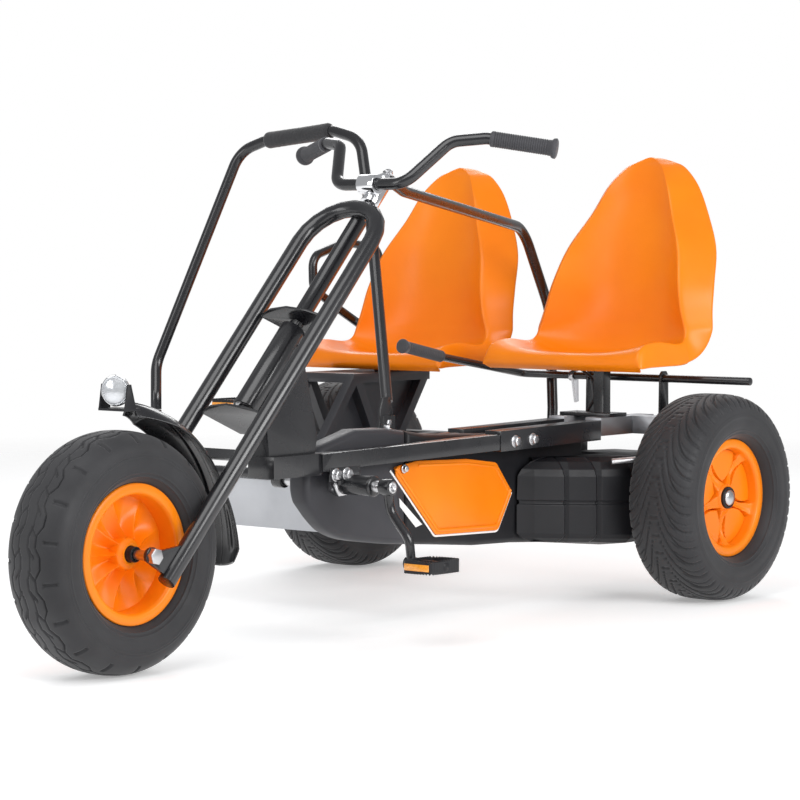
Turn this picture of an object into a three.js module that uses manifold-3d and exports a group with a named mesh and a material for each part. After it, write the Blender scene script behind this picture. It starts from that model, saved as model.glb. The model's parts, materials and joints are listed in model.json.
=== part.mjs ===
// Three-wheeled pedal go kart with two seats side by side and a chopper fork.
// Millimetres. Origin: where the front tyre meets the ground. +X forward, +Y left, +Z up.
import * as THREE from "three";
import { mergeVertices } from "three/addons/utils/BufferGeometryUtils.js";
import Module from "manifold-3d";

const wasm = await Module();
wasm.setup();

// Driving dimensions.
const GAP = 0.3;
const WHEELBASE = 1650;
const REAR_X = -WHEELBASE;
const LEFT_WHEEL_Y = 250;
const RIGHT_WHEEL_Y = -830;
const PASSENGER_Y = -571;
const FRONT_TYRE = { radius: 230, width: 145, tread: 30, power: 2.5, wallPower: 2.5 };
const REAR_TYRE = { radius: 235, width: 168, tread: 50, power: 3.2, wallPower: 2 };
const RIM_RADIUS = 133.5;
const RIM_BED = 124.7;
const RIM_HALF = 55;
const AXLE_RADIUS = 10;
const WHEEL_SIDES = 24; // a multiple of four, so one flat tread facet faces the ground

const RAKE = THREE.MathUtils.degToRad(47);
const STEER_OFFSET = -90; // steering axis behind the front axle, across the rake
const LEG_OFFSET = -64;
const LEG_Y = 96;
const LEG_RADIUS = 17.5;
const LOOP_TOP = 950;
const BAR_HEIGHT = 1030;
const BAR_RADIUS = 12.5;
const SPINDLE_RADIUS = 14;
const HEAD_BORE = 22.3;
const HEAD_TUBE = [430, 640];
const CROWNS = [400, 656];

const RAIL_LEFT = [8, 46];
const RAIL_RIGHT = [-96, -58];
const RAIL_FRONT_X = -552;
const RAIL_BACK_X = -1500;
const CASE_BACK_X = -1500;
const CROSS = { z0: 372, z1: 413, half: 23.7, y0: -100, y1: 160 };
const LOWER_TUBE = { z0: 318, z1: 350, half: 22, y0: -742, y1: -112 };

const CRANK = { x: -624, z: 319, arm: 155, teeth: 32, lean: THREE.MathUtils.degToRad(8) };
const HUB = { x: REAR_X, z: REAR_TYRE.radius, teeth: 18 };
const CHAIN_PITCH = 12.7;
const CHAIN_Y = -25;
const CASE_Y = [-50, 1];
const CASE_RADIUS = 84;
const PEDAL_Y = [204, 280];

const BRAKE = { x: -1640, y: -280, z: 501, rod: 9 };
const TUBE_RADIUS = 12.5;
const HOOP_X = -920;
const PASSENGER_DROP = 14; // the passenger sits a little lower than the driver

const COLOURS = {
  black_steel: { color: 0x17171a, roughness: 0.32, metalness: 0.4 },
  black_plastic: { color: 0x1c1c1f, roughness: 0.55, metalness: 0 },
  grey_plastic: { color: 0x3a3a40, roughness: 0.5, metalness: 0 },
  orange_plastic: { color: 0xf07a10, roughness: 0.35, metalness: 0 },
  tyre_rubber: { color: 0x202022, roughness: 0.85, metalness: 0 },
  grip_rubber: { color: 0x2b2c30, roughness: 0.8, metalness: 0 },
  foam: { color: 0x26262a, roughness: 0.95, metalness: 0 },
  zinc: { color: 0xc4c6c8, roughness: 0.3, metalness: 0.9 },
  chrome: { color: 0xe8eaec, roughness: 0.08, metalness: 1 },
  satin_steel: { color: 0x8c8f94, roughness: 0.4, metalness: 0.9 },
  lens: { color: 0xf4f6f8, roughness: 0.1, metalness: 0.2 },
};

const V = (x, y, z) => new THREE.Vector3(x, y, z);
const group = new THREE.Group();

// Closed triangle soup to a solid whose faces point out.
function solid(geometry) {
  const bare = geometry.index ? geometry.toNonIndexed() : geometry.clone();
  bare.deleteAttribute("normal");
  bare.deleteAttribute("uv");
  const merged = mergeVertices(bare, 1e-3);
  const build = (triVerts) =>
    new wasm.Manifold(
      new wasm.Mesh({
        numProp: 3,
        vertProperties: merged.attributes.position.array,
        triVerts,
      }),
    );
  const faces = new Uint32Array(merged.index.array);
  const made = build(faces);
  if (made.volume() > 0) return made;
  for (let i = 0; i < faces.length; i += 3) {
    [faces[i + 1], faces[i + 2]] = [faces[i + 2], faces[i + 1]];
  }
  return build(faces);
}

function geometryOf(body) {
  const raw = body.getMesh();
  const position = new Float32Array(raw.numVert * 3);
  for (let i = 0; i < raw.numVert; i++) {
    position.set(raw.vertProperties.subarray(i * raw.numProp, i * raw.numProp + 3), i * 3);
  }
  const geometry = new THREE.BufferGeometry();
  geometry.setAttribute("position", new THREE.BufferAttribute(position, 3));
  geometry.setIndex(new THREE.BufferAttribute(raw.triVerts, 1));
  return geometry;
}

function add(name, body, colour, parent = group) {
  const mesh = new THREE.Mesh(geometryOf(body), new THREE.MeshStandardMaterial(COLOURS[colour]));
  mesh.name = name;
  parent.add(mesh);
  return mesh;
}

const union = (...bodies) => bodies.reduce((all, next) => all.add(next));

// A box between two corners.
function box(x0, x1, y0, y1, z0, z1) {
  const geometry = new THREE.BoxGeometry(x1 - x0, y1 - y0, z1 - z0);
  geometry.translate((x0 + x1) / 2, (y0 + y1) / 2, (z0 + z1) / 2);
  return solid(geometry);
}

// A round bar from a to b.
function bar(a, b, radius, sides = 16) {
  const span = V().subVectors(b, a);
  const geometry = new THREE.CylinderGeometry(radius, radius, span.length(), sides);
  geometry.translate(0, span.length() / 2, 0);
  geometry.applyQuaternion(new THREE.Quaternion().setFromUnitVectors(V(0, 1, 0), span.normalize()));
  geometry.translate(a.x, a.y, a.z);
  return solid(geometry);
}

const barY = (x, z, y0, y1, radius, sides) => bar(V(x, y0, z), V(x, y1, z), radius, sides);

// A turned part about an axle along Y: profile points are [radius, y] and close on themselves.
function turned(profile, sides = WHEEL_SIDES) {
  const points = [...profile, profile[0]].map(([r, y]) => new THREE.Vector2(r, y));
  return solid(new THREE.LatheGeometry(points, sides, Math.PI / sides));
}

// A plate with its outline in X and Z, between two Y values.
function plateXZ(outline, y0, y1) {
  const shape = new THREE.Shape(outline.map(([x, z]) => new THREE.Vector2(x, z)));
  const geometry = new THREE.ExtrudeGeometry(shape, { depth: y1 - y0, bevelEnabled: false });
  geometry.rotateX(Math.PI / 2);
  geometry.translate(0, y1, 0);
  return solid(geometry);
}

// A plate with its outline in X and Y, between two Z values.
function plateXY(outline, z0, z1) {
  const shape = new THREE.Shape(outline.map(([x, y]) => new THREE.Vector2(x, y)));
  const geometry = new THREE.ExtrudeGeometry(shape, { depth: z1 - z0, bevelEnabled: false });
  geometry.translate(0, 0, z0);
  return solid(geometry);
}

// Points of a round stretch, in degrees from +X.
function arc(cx, cz, radius, from, to, steps) {
  return Array.from({ length: steps + 1 }, (_, i) => {
    const angle = THREE.MathUtils.degToRad(from + ((to - from) * i) / steps);
    return [cx + radius * Math.cos(angle), cz + radius * Math.sin(angle)];
  });
}

// A path whose samples are exactly the given stations, so straight runs stay one segment long.
class StationPath extends THREE.Curve {
  constructor(stations) {
    super();
    this.stations = stations;
  }
  getPoint(t, target = new THREE.Vector3()) {
    return target.copy(this.stations[Math.round(t * (this.stations.length - 1))].point);
  }
  getPointAt(t, target) {
    return this.getPoint(t, target);
  }
  getTangentAt(t, target = new THREE.Vector3()) {
    return target.copy(this.stations[Math.round(t * (this.stations.length - 1))].tangent);
  }
}

// Corner points with filleted bends, as stations of point and direction.
function bends(points, radius, steps) {
  const stations = [];
  const towards = (a, b) => V().subVectors(b, a).normalize();
  stations.push({ point: points[0], tangent: towards(points[0], points[1]) });
  for (let i = 1; i < points.length - 1; i++) {
    const into = towards(points[i - 1], points[i]);
    const out = towards(points[i], points[i + 1]);
    const turn = into.angleTo(out);
    const reach = Math.min(
      radius * Math.tan(turn / 2),
      0.48 * points[i].distanceTo(points[i - 1]),
      0.48 * points[i].distanceTo(points[i + 1]),
    );
    const bend = reach / Math.tan(turn / 2);
    const side = out.clone().sub(into.clone().multiplyScalar(out.dot(into))).normalize();
    const start = points[i].clone().addScaledVector(into, -reach);
    for (let k = 0; k <= steps; k++) {
      const angle = (turn * k) / steps;
      const point = start
        .clone()
        .addScaledVector(into, bend * Math.sin(angle))
        .addScaledVector(side, bend * (1 - Math.cos(angle)));
      const tangent = into.clone().multiplyScalar(Math.cos(angle)).addScaledVector(side, Math.sin(angle));
      stations.push({ point, tangent });
    }
  }
  const last = points.length - 1;
  stations.push({ point: points[last], tangent: towards(points[last - 1], points[last]) });
  return stations;
}

// A round bent tube through corner points.
function tube(corners, radius, bendRadius = 60, sides = 12, steps = 3) {
  const points = corners.map(([x, y, z]) => V(x, y, z));
  const stations = bends(points, bendRadius, steps);
  const circle = new THREE.Shape();
  circle.absarc(0, 0, radius, 0, 2 * Math.PI);
  return solid(
    new THREE.ExtrudeGeometry(circle, {
      steps: stations.length - 1,
      curveSegments: sides / 2, // an arc takes twice this many sides
      extrudePath: new StationPath(stations),
    }),
  );
}

// A thin sheet from a grid of points, given thickness along its own normals.
function sheet(grid, thickness) {
  const rows = grid.length;
  const columns = grid[0].length;
  const at = (i, j) => grid[Math.min(rows - 1, Math.max(0, i))][Math.min(columns - 1, Math.max(0, j))];
  const back = grid.map((row, i) =>
    row.map((point, j) => {
      const along = V().subVectors(at(i + 1, j), at(i - 1, j));
      const across = V().subVectors(at(i, j + 1), at(i, j - 1));
      return point.clone().addScaledVector(along.cross(across).normalize(), thickness);
    }),
  );
  const positions = [];
  const face = (a, b, c, d) => {
    [a, b, c, a, c, d].forEach((p) => positions.push(p.x, p.y, p.z));
  };
  for (let i = 0; i < rows - 1; i++) {
    for (let j = 0; j < columns - 1; j++) {
      face(grid[i][j], grid[i][j + 1], grid[i + 1][j + 1], grid[i + 1][j]);
      face(back[i][j], back[i + 1][j], back[i + 1][j + 1], back[i][j + 1]);
    }
    face(grid[i][0], grid[i + 1][0], back[i + 1][0], back[i][0]);
    face(grid[i + 1][columns - 1], grid[i][columns - 1], back[i][columns - 1], back[i + 1][columns - 1]);
  }
  for (let j = 0; j < columns - 1; j++) {
    face(grid[0][j + 1], grid[0][j], back[0][j], back[0][j + 1]);
    face(grid[rows - 1][j], grid[rows - 1][j + 1], back[rows - 1][j + 1], back[rows - 1][j]);
  }
  const geometry = new THREE.BufferGeometry();
  geometry.setAttribute("position", new THREE.Float32BufferAttribute(positions, 3));
  return solid(geometry);
}

// Group for one wheel, its axle at the group's origin.
function wheelGroup(x, y, z) {
  const wheel = new THREE.Group();
  wheel.position.set(x, y, z);
  group.add(wheel);
  return wheel;
}

// Pneumatic casing: a fat oval section that opens between its beads onto the rim.
function tyre({ radius, width, tread, power, wallPower }) {
  const lean = 1 / Math.cos(Math.PI / WHEEL_SIDES); // puts the flats of the facets at the true radius
  const beadY = 47;
  const wall = 9;
  const oval = (inset, y0, steps) => {
    const middle = (radius + RIM_BED) / 2;
    const halfHeight = (radius - RIM_BED) / 2 - inset;
    const halfWidth = width / 2 - inset;
    const points = [];
    for (let i = 1; i < steps; i++) {
      const angle = (Math.PI * i) / steps;
      const up = Math.cos(angle);
      const y = halfWidth * Math.sin(angle) ** (2 / (up > 0 ? power : wallPower));
      const r = middle + halfHeight * Math.sign(up) * Math.abs(up) ** (2 / power);
      if (up > 0 || (y > y0 && r > RIM_RADIUS + 1)) points.push([r, y]);
    }
    return points;
  };
  const outer = [[radius, tread / 2], ...oval(0, beadY, 6).filter(([, y]) => y > tread / 2)];
  outer.push([RIM_RADIUS + 1, RIM_HALF - 1], [RIM_RADIUS + 0.6, beadY], [RIM_BED + GAP, beadY - 1]);
  const inner = [[RIM_BED + GAP, beadY - 12], ...oval(wall, beadY - 12, 3).reverse()];
  const half = [...outer, ...inner.filter(([r]) => r < radius - wall)];
  const mirrored = half.map(([r, y]) => [r, -y]).reverse();
  return turned([...half, ...mirrored].map(([r, y]) => [r * lean, y]));
}

// Moulded rim: barrel and flanges on a web, with windows between the spokes.
function rim(web, hubHalf, windows) {
  let body = turned([
    [15.3, -hubHalf], [30, -hubHalf], [30, web - 9], [110, web - 9], [114, -RIM_HALF],
    [RIM_RADIUS, -RIM_HALF], [RIM_RADIUS, -RIM_HALF + 5.5], [RIM_BED, -RIM_HALF + 7.5],
    [RIM_BED, RIM_HALF - 7.5], [RIM_RADIUS, RIM_HALF - 5.5], [RIM_RADIUS, RIM_HALF], [114, RIM_HALF],
    [110, web], [30, web], [30, hubHalf], [15.3, hubHalf],
  ]);
  for (let i = 0; i < windows; i++) {
    const middle = (360 / windows) * i;
    const outline = [
      ...arc(0, 0, 101, middle - 23, middle + 23, 3),
      ...arc(0, 0, 47, middle + 13, middle - 13, 1),
    ];
    body = body.subtract(plateXZ(outline, web - 15, web + 6));
  }
  return body;
}

// Ribs that run from the hub to the barrel in front of the web.
function ribs(count, web, y1) {
  const each = [];
  for (let i = 0; i < count; i++) {
    const geometry = new THREE.BoxGeometry(82, y1 - web, 7);
    geometry.translate(70, (web + y1) / 2, 0);
    geometry.rotateY((2 * Math.PI * i) / count);
    each.push(solid(geometry));
  }
  return union(...each);
}

// Sleeve with a bore, along Y.
const sleeve = (inner, outer, y0, y1, sides = 20) =>
  turned([[inner, y0], [outer, y0], [outer, y1], [inner, y1]], sides);

function frontWheel() {
  const wheel = wheelGroup(0, 0, FRONT_TYRE.radius);
  add("front_tyre", tyre(FRONT_TYRE), "tyre_rubber", wheel);
  const dish = rim(6, 36, 0).add(ribs(7, 4, 30));
  add("front_rim", dish.subtract(barY(0, 0, -40, 40, 15.3, 20)), "orange_plastic", wheel);
  add("front_hub", sleeve(AXLE_RADIUS + GAP, 15, -56, 56), "black_plastic", wheel);
}

function rearWheel(side, y, facing) {
  const wheel = wheelGroup(REAR_X, y, REAR_TYRE.radius);
  add(`${side}_rear_tyre`, tyre(REAR_TYRE), "tyre_rubber", wheel);
  const spoked = rim(20, 40, 5);
  const hub = sleeve(AXLE_RADIUS + GAP, 15, -48, 44);
  const cap = turned([[0, 42.5], [22, 42.5], [24, 46], [22, 52], [12, 53], [11, 60], [0, 60]], 20);
  const bodies = [
    ["rim", spoked, "orange_plastic"],
    ["hub", hub, "black_steel"],
    ["hub_cap", cap.subtract(barY(0, 0, 40, 49, 15.4, 20)), "black_plastic"],
  ];
  bodies.forEach(([name, body, colour]) => {
    const mesh = add(`${side}_rear_${name}`, body, colour, wheel);
    mesh.rotation.z = facing > 0 ? 0 : Math.PI;
  });
}

// Steering parts are drawn in the rake frame: x across the rake, z up along it, from the front axle.
const steering = new THREE.Group();
steering.position.set(0, 0, FRONT_TYRE.radius);
steering.rotation.y = RAKE - Math.PI / 2;
group.add(steering);
steering.updateMatrixWorld(true);
const toRake = steering.matrixWorld.clone().invert();

function crown(z, front) {
  const outline = [
    [LEG_OFFSET - 6, -LEG_Y + 8],
    [front - 8, -LEG_Y / 2],
    [front, 0],
    [front - 8, LEG_Y / 2],
    [LEG_OFFSET - 6, LEG_Y - 8],
    [STEER_OFFSET - 42, 22],
    [STEER_OFFSET - 42, -22],
  ];
  return plateXY(outline, z, z + 5);
}

function forkFrame() {
  const straight = LOOP_TOP - LEG_Y * 1.02;
  const loop = tube(
    [
      [LEG_OFFSET, LEG_Y, -12],
      [LEG_OFFSET, LEG_Y, LOOP_TOP],
      [LEG_OFFSET, -LEG_Y, LOOP_TOP],
      [LEG_OFFSET, -LEG_Y, -12],
    ],
    LEG_RADIUS,
    LOOP_TOP - straight,
    14,
    5,
  );
  const upper = bar(V(STEER_OFFSET, 0, CROWNS[1]), V(STEER_OFFSET, 0, LOOP_TOP - 12), LEG_RADIUS);
  const lower = bar(V(STEER_OFFSET, 0, CROWNS[0]), V(STEER_OFFSET, 0, CROWNS[1] + 1), SPINDLE_RADIUS);
  const stub = bar(V(STEER_OFFSET, 0, LOOP_TOP - 20), V(STEER_OFFSET, 0, BAR_HEIGHT - 24), 12);
  const brace = box(LEG_OFFSET - 4, LEG_OFFSET + 4, -LEG_Y, LEG_Y, 284, 306);
  const frame = union(loop, upper, lower, stub, brace, crown(CROWNS[0], -42), crown(CROWNS[1], -42));
  add("fork_frame", frame, "black_steel", steering);
}

function axlePlates() {
  [["left", 1], ["right", -1]].forEach(([side, sign]) => {
    const boss = arc(0, 0, 17, -70, 110, 8);
    const outline = [...boss, [LEG_OFFSET + LEG_RADIUS + GAP, 62], [LEG_OFFSET + LEG_RADIUS + GAP, -6]];
    const inner = sign * (LEG_Y - 4);
    const plate = plateXZ(outline, Math.min(inner, inner + sign * 8), Math.max(inner, inner + sign * 8));
    const holed = plate.subtract(barY(0, 0, -120, 120, AXLE_RADIUS + GAP));
    add(`${side}_axle_plate`, holed, "black_steel", steering);
  });
  const shaft = barY(0, 0, -106, 106, AXLE_RADIUS - GAP);
  const heads = [1, -1].map((sign) => barY(0, 0, sign * 100.5, sign * 112, 16, 6));
  add("front_axle_bolt", union(shaft, ...heads), "zinc", steering);
}

function fender() {
  const section = [[-60, 253], [-46, 264], [-22, 272], [0, 276], [22, 272], [46, 264], [60, 253]];
  const steps = 14;
  const grid = Array.from({ length: steps + 1 }, (_, i) => {
    const along = i / steps;
    const angle = THREE.MathUtils.degToRad(99 + 91 * along);
    const taper = Math.min(1, 0.25 + 4.2 * along);
    const flare = 1 + 0.9 * Math.max(0, along - 0.62); // behind the legs the flap widens
    const end = along > 0.92 ? 1 - 2.5 * (along - 0.92) : 1;
    return section.map(([y, r]) => {
      const reach = r + 4;
      const width = y * taper * flare * end;
      return V(reach * Math.cos(angle), width, FRONT_TYRE.radius + reach * Math.sin(angle));
    });
  });
  add("front_fender", sheet(grid, 3), "black_plastic");
}

function headlamp() {
  const x = -6;
  const z = 534;
  const radius = 30;
  const dome = turned(arc(0, 0, radius, -90, 90, 8).map(([r, y]) => [Math.max(r, 0), y]), 16);
  const mesh = add("headlamp", dome, "lens");
  mesh.position.set(x, 0, z);
  const foot = box(x - 28, x + 12, -36, 36, z - 38, z - radius - 3);
  const ears = [-1, 1].map((sign) => {
    const faces = [sign * 32, sign * 36].sort((a, b) => a - b);
    return plateXZ([[x - 18, z - 38], [x + 12, z - 38], [x + 4, z + 12], [x - 4, z + 12]], ...faces);
  });
  add("headlamp_bracket", union(foot, ...ears), "black_plastic");
}

// Bar and grips are given straight ahead, in the kart's own axes.
const GRIP_END = [-923, 339, 1003];
const GRIP_START = [-858, 216, 1025];
const BAR_CENTRE = { x: -742, z: 932 };
const PIN_RADIUS = 8;
const STAY_EYE = [BAR_HEIGHT + 16, BAR_HEIGHT + 34];

function rakeBar(z0, z1, radius, sides) {
  const local = bar(V(STEER_OFFSET, 0, z0), V(STEER_OFFSET, 0, z1), radius, sides);
  return solid(geometryOf(local).applyMatrix4(steering.matrixWorld));
}

function handlebar() {
  const half = [GRIP_END, GRIP_START, [-822, 150, 1019], [BAR_CENTRE.x, 92, BAR_CENTRE.z]];
  const mirrored = half.map(([x, y, z]) => [x, -y, z]).reverse();
  add("handlebar", tube([...half, ...mirrored], BAR_RADIUS, 45, 12, 2), "black_steel");

  const block = barY(BAR_CENTRE.x, BAR_CENTRE.z, -22, 22, 21, 16);
  const stem = rakeBar(BAR_HEIGHT - 44, BAR_HEIGHT + 10, 20);
  const pin = rakeBar(BAR_HEIGHT, STAY_EYE[1] + 8, PIN_RADIUS, 16);
  const bore = rakeBar(BAR_HEIGHT - 60, BAR_HEIGHT - 23.7, 12 + GAP);
  const seat = barY(BAR_CENTRE.x, BAR_CENTRE.z, -30, 30, BAR_RADIUS + GAP);
  add("bar_clamp", union(block, stem, pin).subtract(seat).subtract(bore), "chrome");
}

function grips() {
  [["left", 1], ["right", -1]].forEach(([side, sign]) => {
    const end = V(GRIP_END[0], sign * GRIP_END[1], GRIP_END[2]);
    const start = V(GRIP_START[0], sign * GRIP_START[1], GRIP_START[2]);
    const along = V().subVectors(end, start).normalize();
    const from = (point, distance) => point.clone().addScaledVector(along, distance);
    const body = union(
      bar(from(start, 8), from(end, 6), 16.5, 12),
      bar(from(end, -4), from(end, 6), 21, 12),
    );
    const bore = bar(from(start, -5), from(end, GAP), BAR_RADIUS + 3 * GAP, 12);
    add(`${side}_grip`, body.subtract(bore), "grip_rubber");
  });
}

// Height of the rails' underside and top at x: they rise towards the rear.
const railBottom = (x) => 352 + ((RAIL_FRONT_X - x) / (RAIL_FRONT_X - RAIL_BACK_X)) * 14;
const railTop = (x) => railBottom(x) + 34;

function rail([y0, y1]) {
  const front = RAIL_FRONT_X;
  const back = RAIL_BACK_X;
  const outline = [
    [back, railBottom(back)], [front, railBottom(front)], [front, railTop(front)], [back, railTop(back)],
  ];
  return plateXZ(outline, y0, y1);
}

// Square sleeve that stiffens the rear of a rail.
function railSleeve([y0, y1]) {
  const front = -1125;
  const back = RAIL_BACK_X;
  const outline = [
    [back, railBottom(back) - 3],
    [front, railBottom(front) - 3],
    [front, railTop(front) + 8],
    [back, railTop(back) + 8],
  ];
  return plateXZ(outline, y0 - 3, y1 + 3);
}

function mainFrame() {
  const neckOutline = [
    [-404, 386], [-541, 386], [-548, 420], [-533, 480], [-512, 560],
    [-492, 606], [-452, 590], [-396, 500], [-398, 440],
  ];
  const neck = plateXZ(neckOutline, -24, 24);
  const foot = box(-545, -400, -30, 40, 343, 387);
  const joiner = box(-575, -540, RAIL_RIGHT[0], RAIL_LEFT[1], 350, 386);
  const head = rakeBar(HEAD_TUBE[0], HEAD_TUBE[1], 26, 20);
  const headBore = rakeBar(HEAD_TUBE[0] - 30, HEAD_TUBE[1] + 30, HEAD_BORE, 20);
  const bracket = barY(CRANK.x, CRANK.z, 18, 106, 21, 16);
  const hanger = box(CRANK.x - 24, CRANK.x + 24, 20, 44, CRANK.z, 354);
  const shell = union(bracket, hanger).subtract(barY(CRANK.x, CRANK.z, 10, 120, 15, 16));
  const hoopLug = union(
    box(HOOP_X - 20, HOOP_X + 20, -104, -96.5, 360, 440),
    box(HOOP_X - 20, HOOP_X + 20, -104, -90, 362, 378),
  );
  const rails = union(rail(RAIL_LEFT), rail(RAIL_RIGHT), railSleeve(RAIL_LEFT), railSleeve(RAIL_RIGHT));
  const frame = union(neck, foot, joiner, head, shell, rails, hoopLug);
  const caseSlot = plateXZ(caseOutline(2), CASE_Y[0] - 2, CASE_Y[1] + 2);
  add("main_frame", frame.subtract(headBore).subtract(caseSlot), "black_steel");
  [["lower", HEAD_TUBE[0] + 1], ["upper", HEAD_TUBE[1] - 13]].forEach(([name, z]) => {
    const inner = SPINDLE_RADIUS + GAP;
    const ring = turned([[inner, z], [22, z], [22, z + 12], [inner, z + 12]], 20);
    const mesh = add(`head_bearing_${name}`, ring, "zinc", steering);
    mesh.rotation.x = Math.PI / 2;
    mesh.position.x = STEER_OFFSET;
  });
}

// Rear frame behind the rails, and what carries the two rear axles.
function rearStructure() {
  const { z0, z1, half, y0, y1 } = CROSS;
  const rearRail = ([a, b]) => box(-1712, RAIL_BACK_X - GAP, a - 3, b + 3, z0, z1);
  const cross = box(REAR_X - half, REAR_X + half, y0, y1, z0, z1);
  add("rear_cross_tube", union(cross, rearRail(RAIL_LEFT), rearRail(RAIL_RIGHT)), "satin_steel");

  const dropY = [-740, -714];
  const drop = box(REAR_X - 20, REAR_X + 20, dropY[0], dropY[1], 205, LOWER_TUBE.z0 - GAP);
  const stub = barY(REAR_X, HUB.z, RIGHT_WHEEL_Y - 40, dropY[0] - GAP, AXLE_RADIUS - GAP);
  add("right_axle_bracket", drop, "black_steel");
  add("right_stub_axle", stub, "zinc");
  add("left_axle", barY(REAR_X, HUB.z, -46, LEFT_WHEEL_Y + 40, AXLE_RADIUS - GAP), "zinc");
}

// Square-tube cradle under the passenger seat, with the tube that reaches out to the right wheel.
function passengerFrame() {
  const tube = 12;
  const { z0, z1, half, y0, y1 } = LOWER_TUBE;
  const leg = (top, foot, y) => {
    const outline = [[top - 13, 496], [top + 13, 496], [foot + 13, z1 - 5], [foot - 13, z1 - 5]];
    return plateXZ(outline, y - tube, y + tube);
  };
  const side = (y) =>
    union(
      leg(-1319, -1203, y),
      leg(-1319, -1397, y),
      leg(-1580, -1477, y),
      box(REAR_X - half, -1190, y - tube, y + tube, z0, z1),
    );
  const near = PASSENGER_Y + 31;
  const far = PASSENGER_Y - 112;
  const pan = box(-1592, -1306, far - tube, near + tube, 482, 504);
  const pad = box(-1590, -1480, PASSENGER_Y - 40, PASSENGER_Y + 38, 503, 526);
  const tieTop = railBottom(-1240) - 3 - GAP;
  const tie = box(-1262, -1222, far, RAIL_RIGHT[1], z0, tieTop);
  const rear = box(REAR_X - half, REAR_X + half, y0, y1, z0, z1);
  const riser = box(REAR_X - half, REAR_X + half, y1 - 12, y1, z0, CROSS.z1 - 6);
  const panelOutline = [[-1212, z1 - 1], [-1322, 484], [-1576, 484], [-1482, z1 - 1]];
  const panel = plateXZ(panelOutline, near - tube - 4, near - tube);
  const cradle = union(side(near), side(far), pan, pad, tie, rear, riser, panel);
  add("passenger_frame", cradle, "grey_plastic");
}

// Seat shell: the rear edge of the backrest, and the rolled front edge inside it.
function seatGrid(y, drop = 0) {
  // Rows of rim x, rim z, half width, how far the skirt runs on, how deep the middle lies.
  const base = [
    [-1424, 525, 198, 0, 0],
    [-1409, 539, 206, 0, 2],
    [-1413, 564, 210, 8, 8],
    [-1440, 584, 212, 22, 22],
    [-1494, 590, 214, 34, 36],
    [-1560, 584, 214, 36, 38],
    [-1594, 590, 212, 36, 42],
  ];
  const back = [
    [-1608, 614, 205, 50, 52],
    [-1612, 660, 190, 62, 60],
    [-1622, 720, 176, 72, 58],
    [-1652, 800, 154, 78, 44],
    [-1690, 880, 112, 74, 26],
    [-1716, 950, 84, 66, 14],
    [-1742, 990, 54, 52, 6],
    [-1766, 1010, 26, 32, 2],
  ];
  const across = [-1, -0.98, -0.9, -0.72, -0.45, 0, 0.45, 0.72, 0.9, 0.98, 1];
  const row = ([x, z, half, skirt, depth], back) =>
    across.map((t) => {
      const inside = Math.min(1, Math.abs(t) / 0.9);
      const fall = depth * (1 - inside ** 3);
      const turn = Math.max(0, (Math.abs(t) - 0.9) / 0.1);
      const flare = back ? 0.55 * skirt * turn : 6 * turn;
      const yy = y + Math.sign(t) * (half * inside + flare);
      const run = fall + skirt * turn;
      return back ? V(x - run, yy, z - drop) : V(x, yy, z - drop - run);
    });
  return [...base.map((r) => row(r, false)), ...back.map((r) => row(r, true))];
}

function seats() {
  add("driver_seat", sheet(seatGrid(0), -4), "orange_plastic");
  add("passenger_seat", sheet(seatGrid(PASSENGER_Y, PASSENGER_DROP), -4), "orange_plastic");
  const x = -1572;
  const floor = CROSS.z1 + GAP;
  const post = box(x - 14, x + 14, -14, 14, floor, 540);
  const top = box(-1598, -1500, -60, 60, 535, 540.5);
  const foot = box(x - 34, x + 34, RAIL_RIGHT[0], RAIL_LEFT[1], floor, floor + 8);
  add("driver_seat_post", union(post, top, foot), "black_steel");
}

// Closed loop round both sprockets; grown outward it is the case, at its own size it is the chain.
function loopOutline(front, rear, steps) {
  return [
    ...arc(CRANK.x, CRANK.z, front, -84, 84, steps),
    ...arc(HUB.x, HUB.z, rear, 96, 264, steps),
  ];
}

const pitchRadius = (teeth) => CHAIN_PITCH / (2 * Math.sin(Math.PI / teeth));

function drive() {
  const big = pitchRadius(CRANK.teeth);
  const small = pitchRadius(HUB.teeth);
  const outer = plateXZ(loopOutline(big + 4, small + 4, 14), CHAIN_Y - 4, CHAIN_Y + 4);
  const inner = plateXZ(loopOutline(big - 3, small - 3, 14), CHAIN_Y - 6, CHAIN_Y + 6);
  add("chain", outer.subtract(inner), "zinc");
  const ring = barY(CRANK.x, CRANK.z, CHAIN_Y - 1.5, CHAIN_Y + 1.5, big - 6, 40);
  add("chainring", ring.subtract(barY(CRANK.x, CRANK.z, -60, 20, 12 + GAP)), "zinc");
  const cog = barY(HUB.x, HUB.z, CHAIN_Y - 1.5, CHAIN_Y + 1.5, small - 6, 18);
  const hub = barY(HUB.x, HUB.z, CHAIN_Y - 1.5, 60, 20, 16);
  const bore = barY(HUB.x, HUB.z, -60, 80, AXLE_RADIUS + GAP);
  add("rear_sprocket", cog.add(hub).subtract(bore), "zinc");
}

// Case halves: shells round the chain, open underneath the rails on top.
function caseOutline(grow) {
  const top = [[-700, 425], [-800, 423], [-930, 404], [-1180, 392], [CASE_BACK_X, 392]];
  const bottom = [
    [CASE_BACK_X, 133], [-1411, 133], [-1237, 146], [-1100, 151], [-975, 163],
    [-867, 173], [-747, 186], [-656, 202], [-612, 222], [-572, 258],
  ];
  return [
    ...arc(CRANK.x, CRANK.z, CASE_RADIUS + grow, -30, 75, 7),
    ...top.map(([x, z]) => [x, z + grow]),
    ...bottom.map(([x, z]) => [x, z - grow]),
  ].map(([x, z]) => [x === CASE_BACK_X ? x - grow : x, z]);
}

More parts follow.
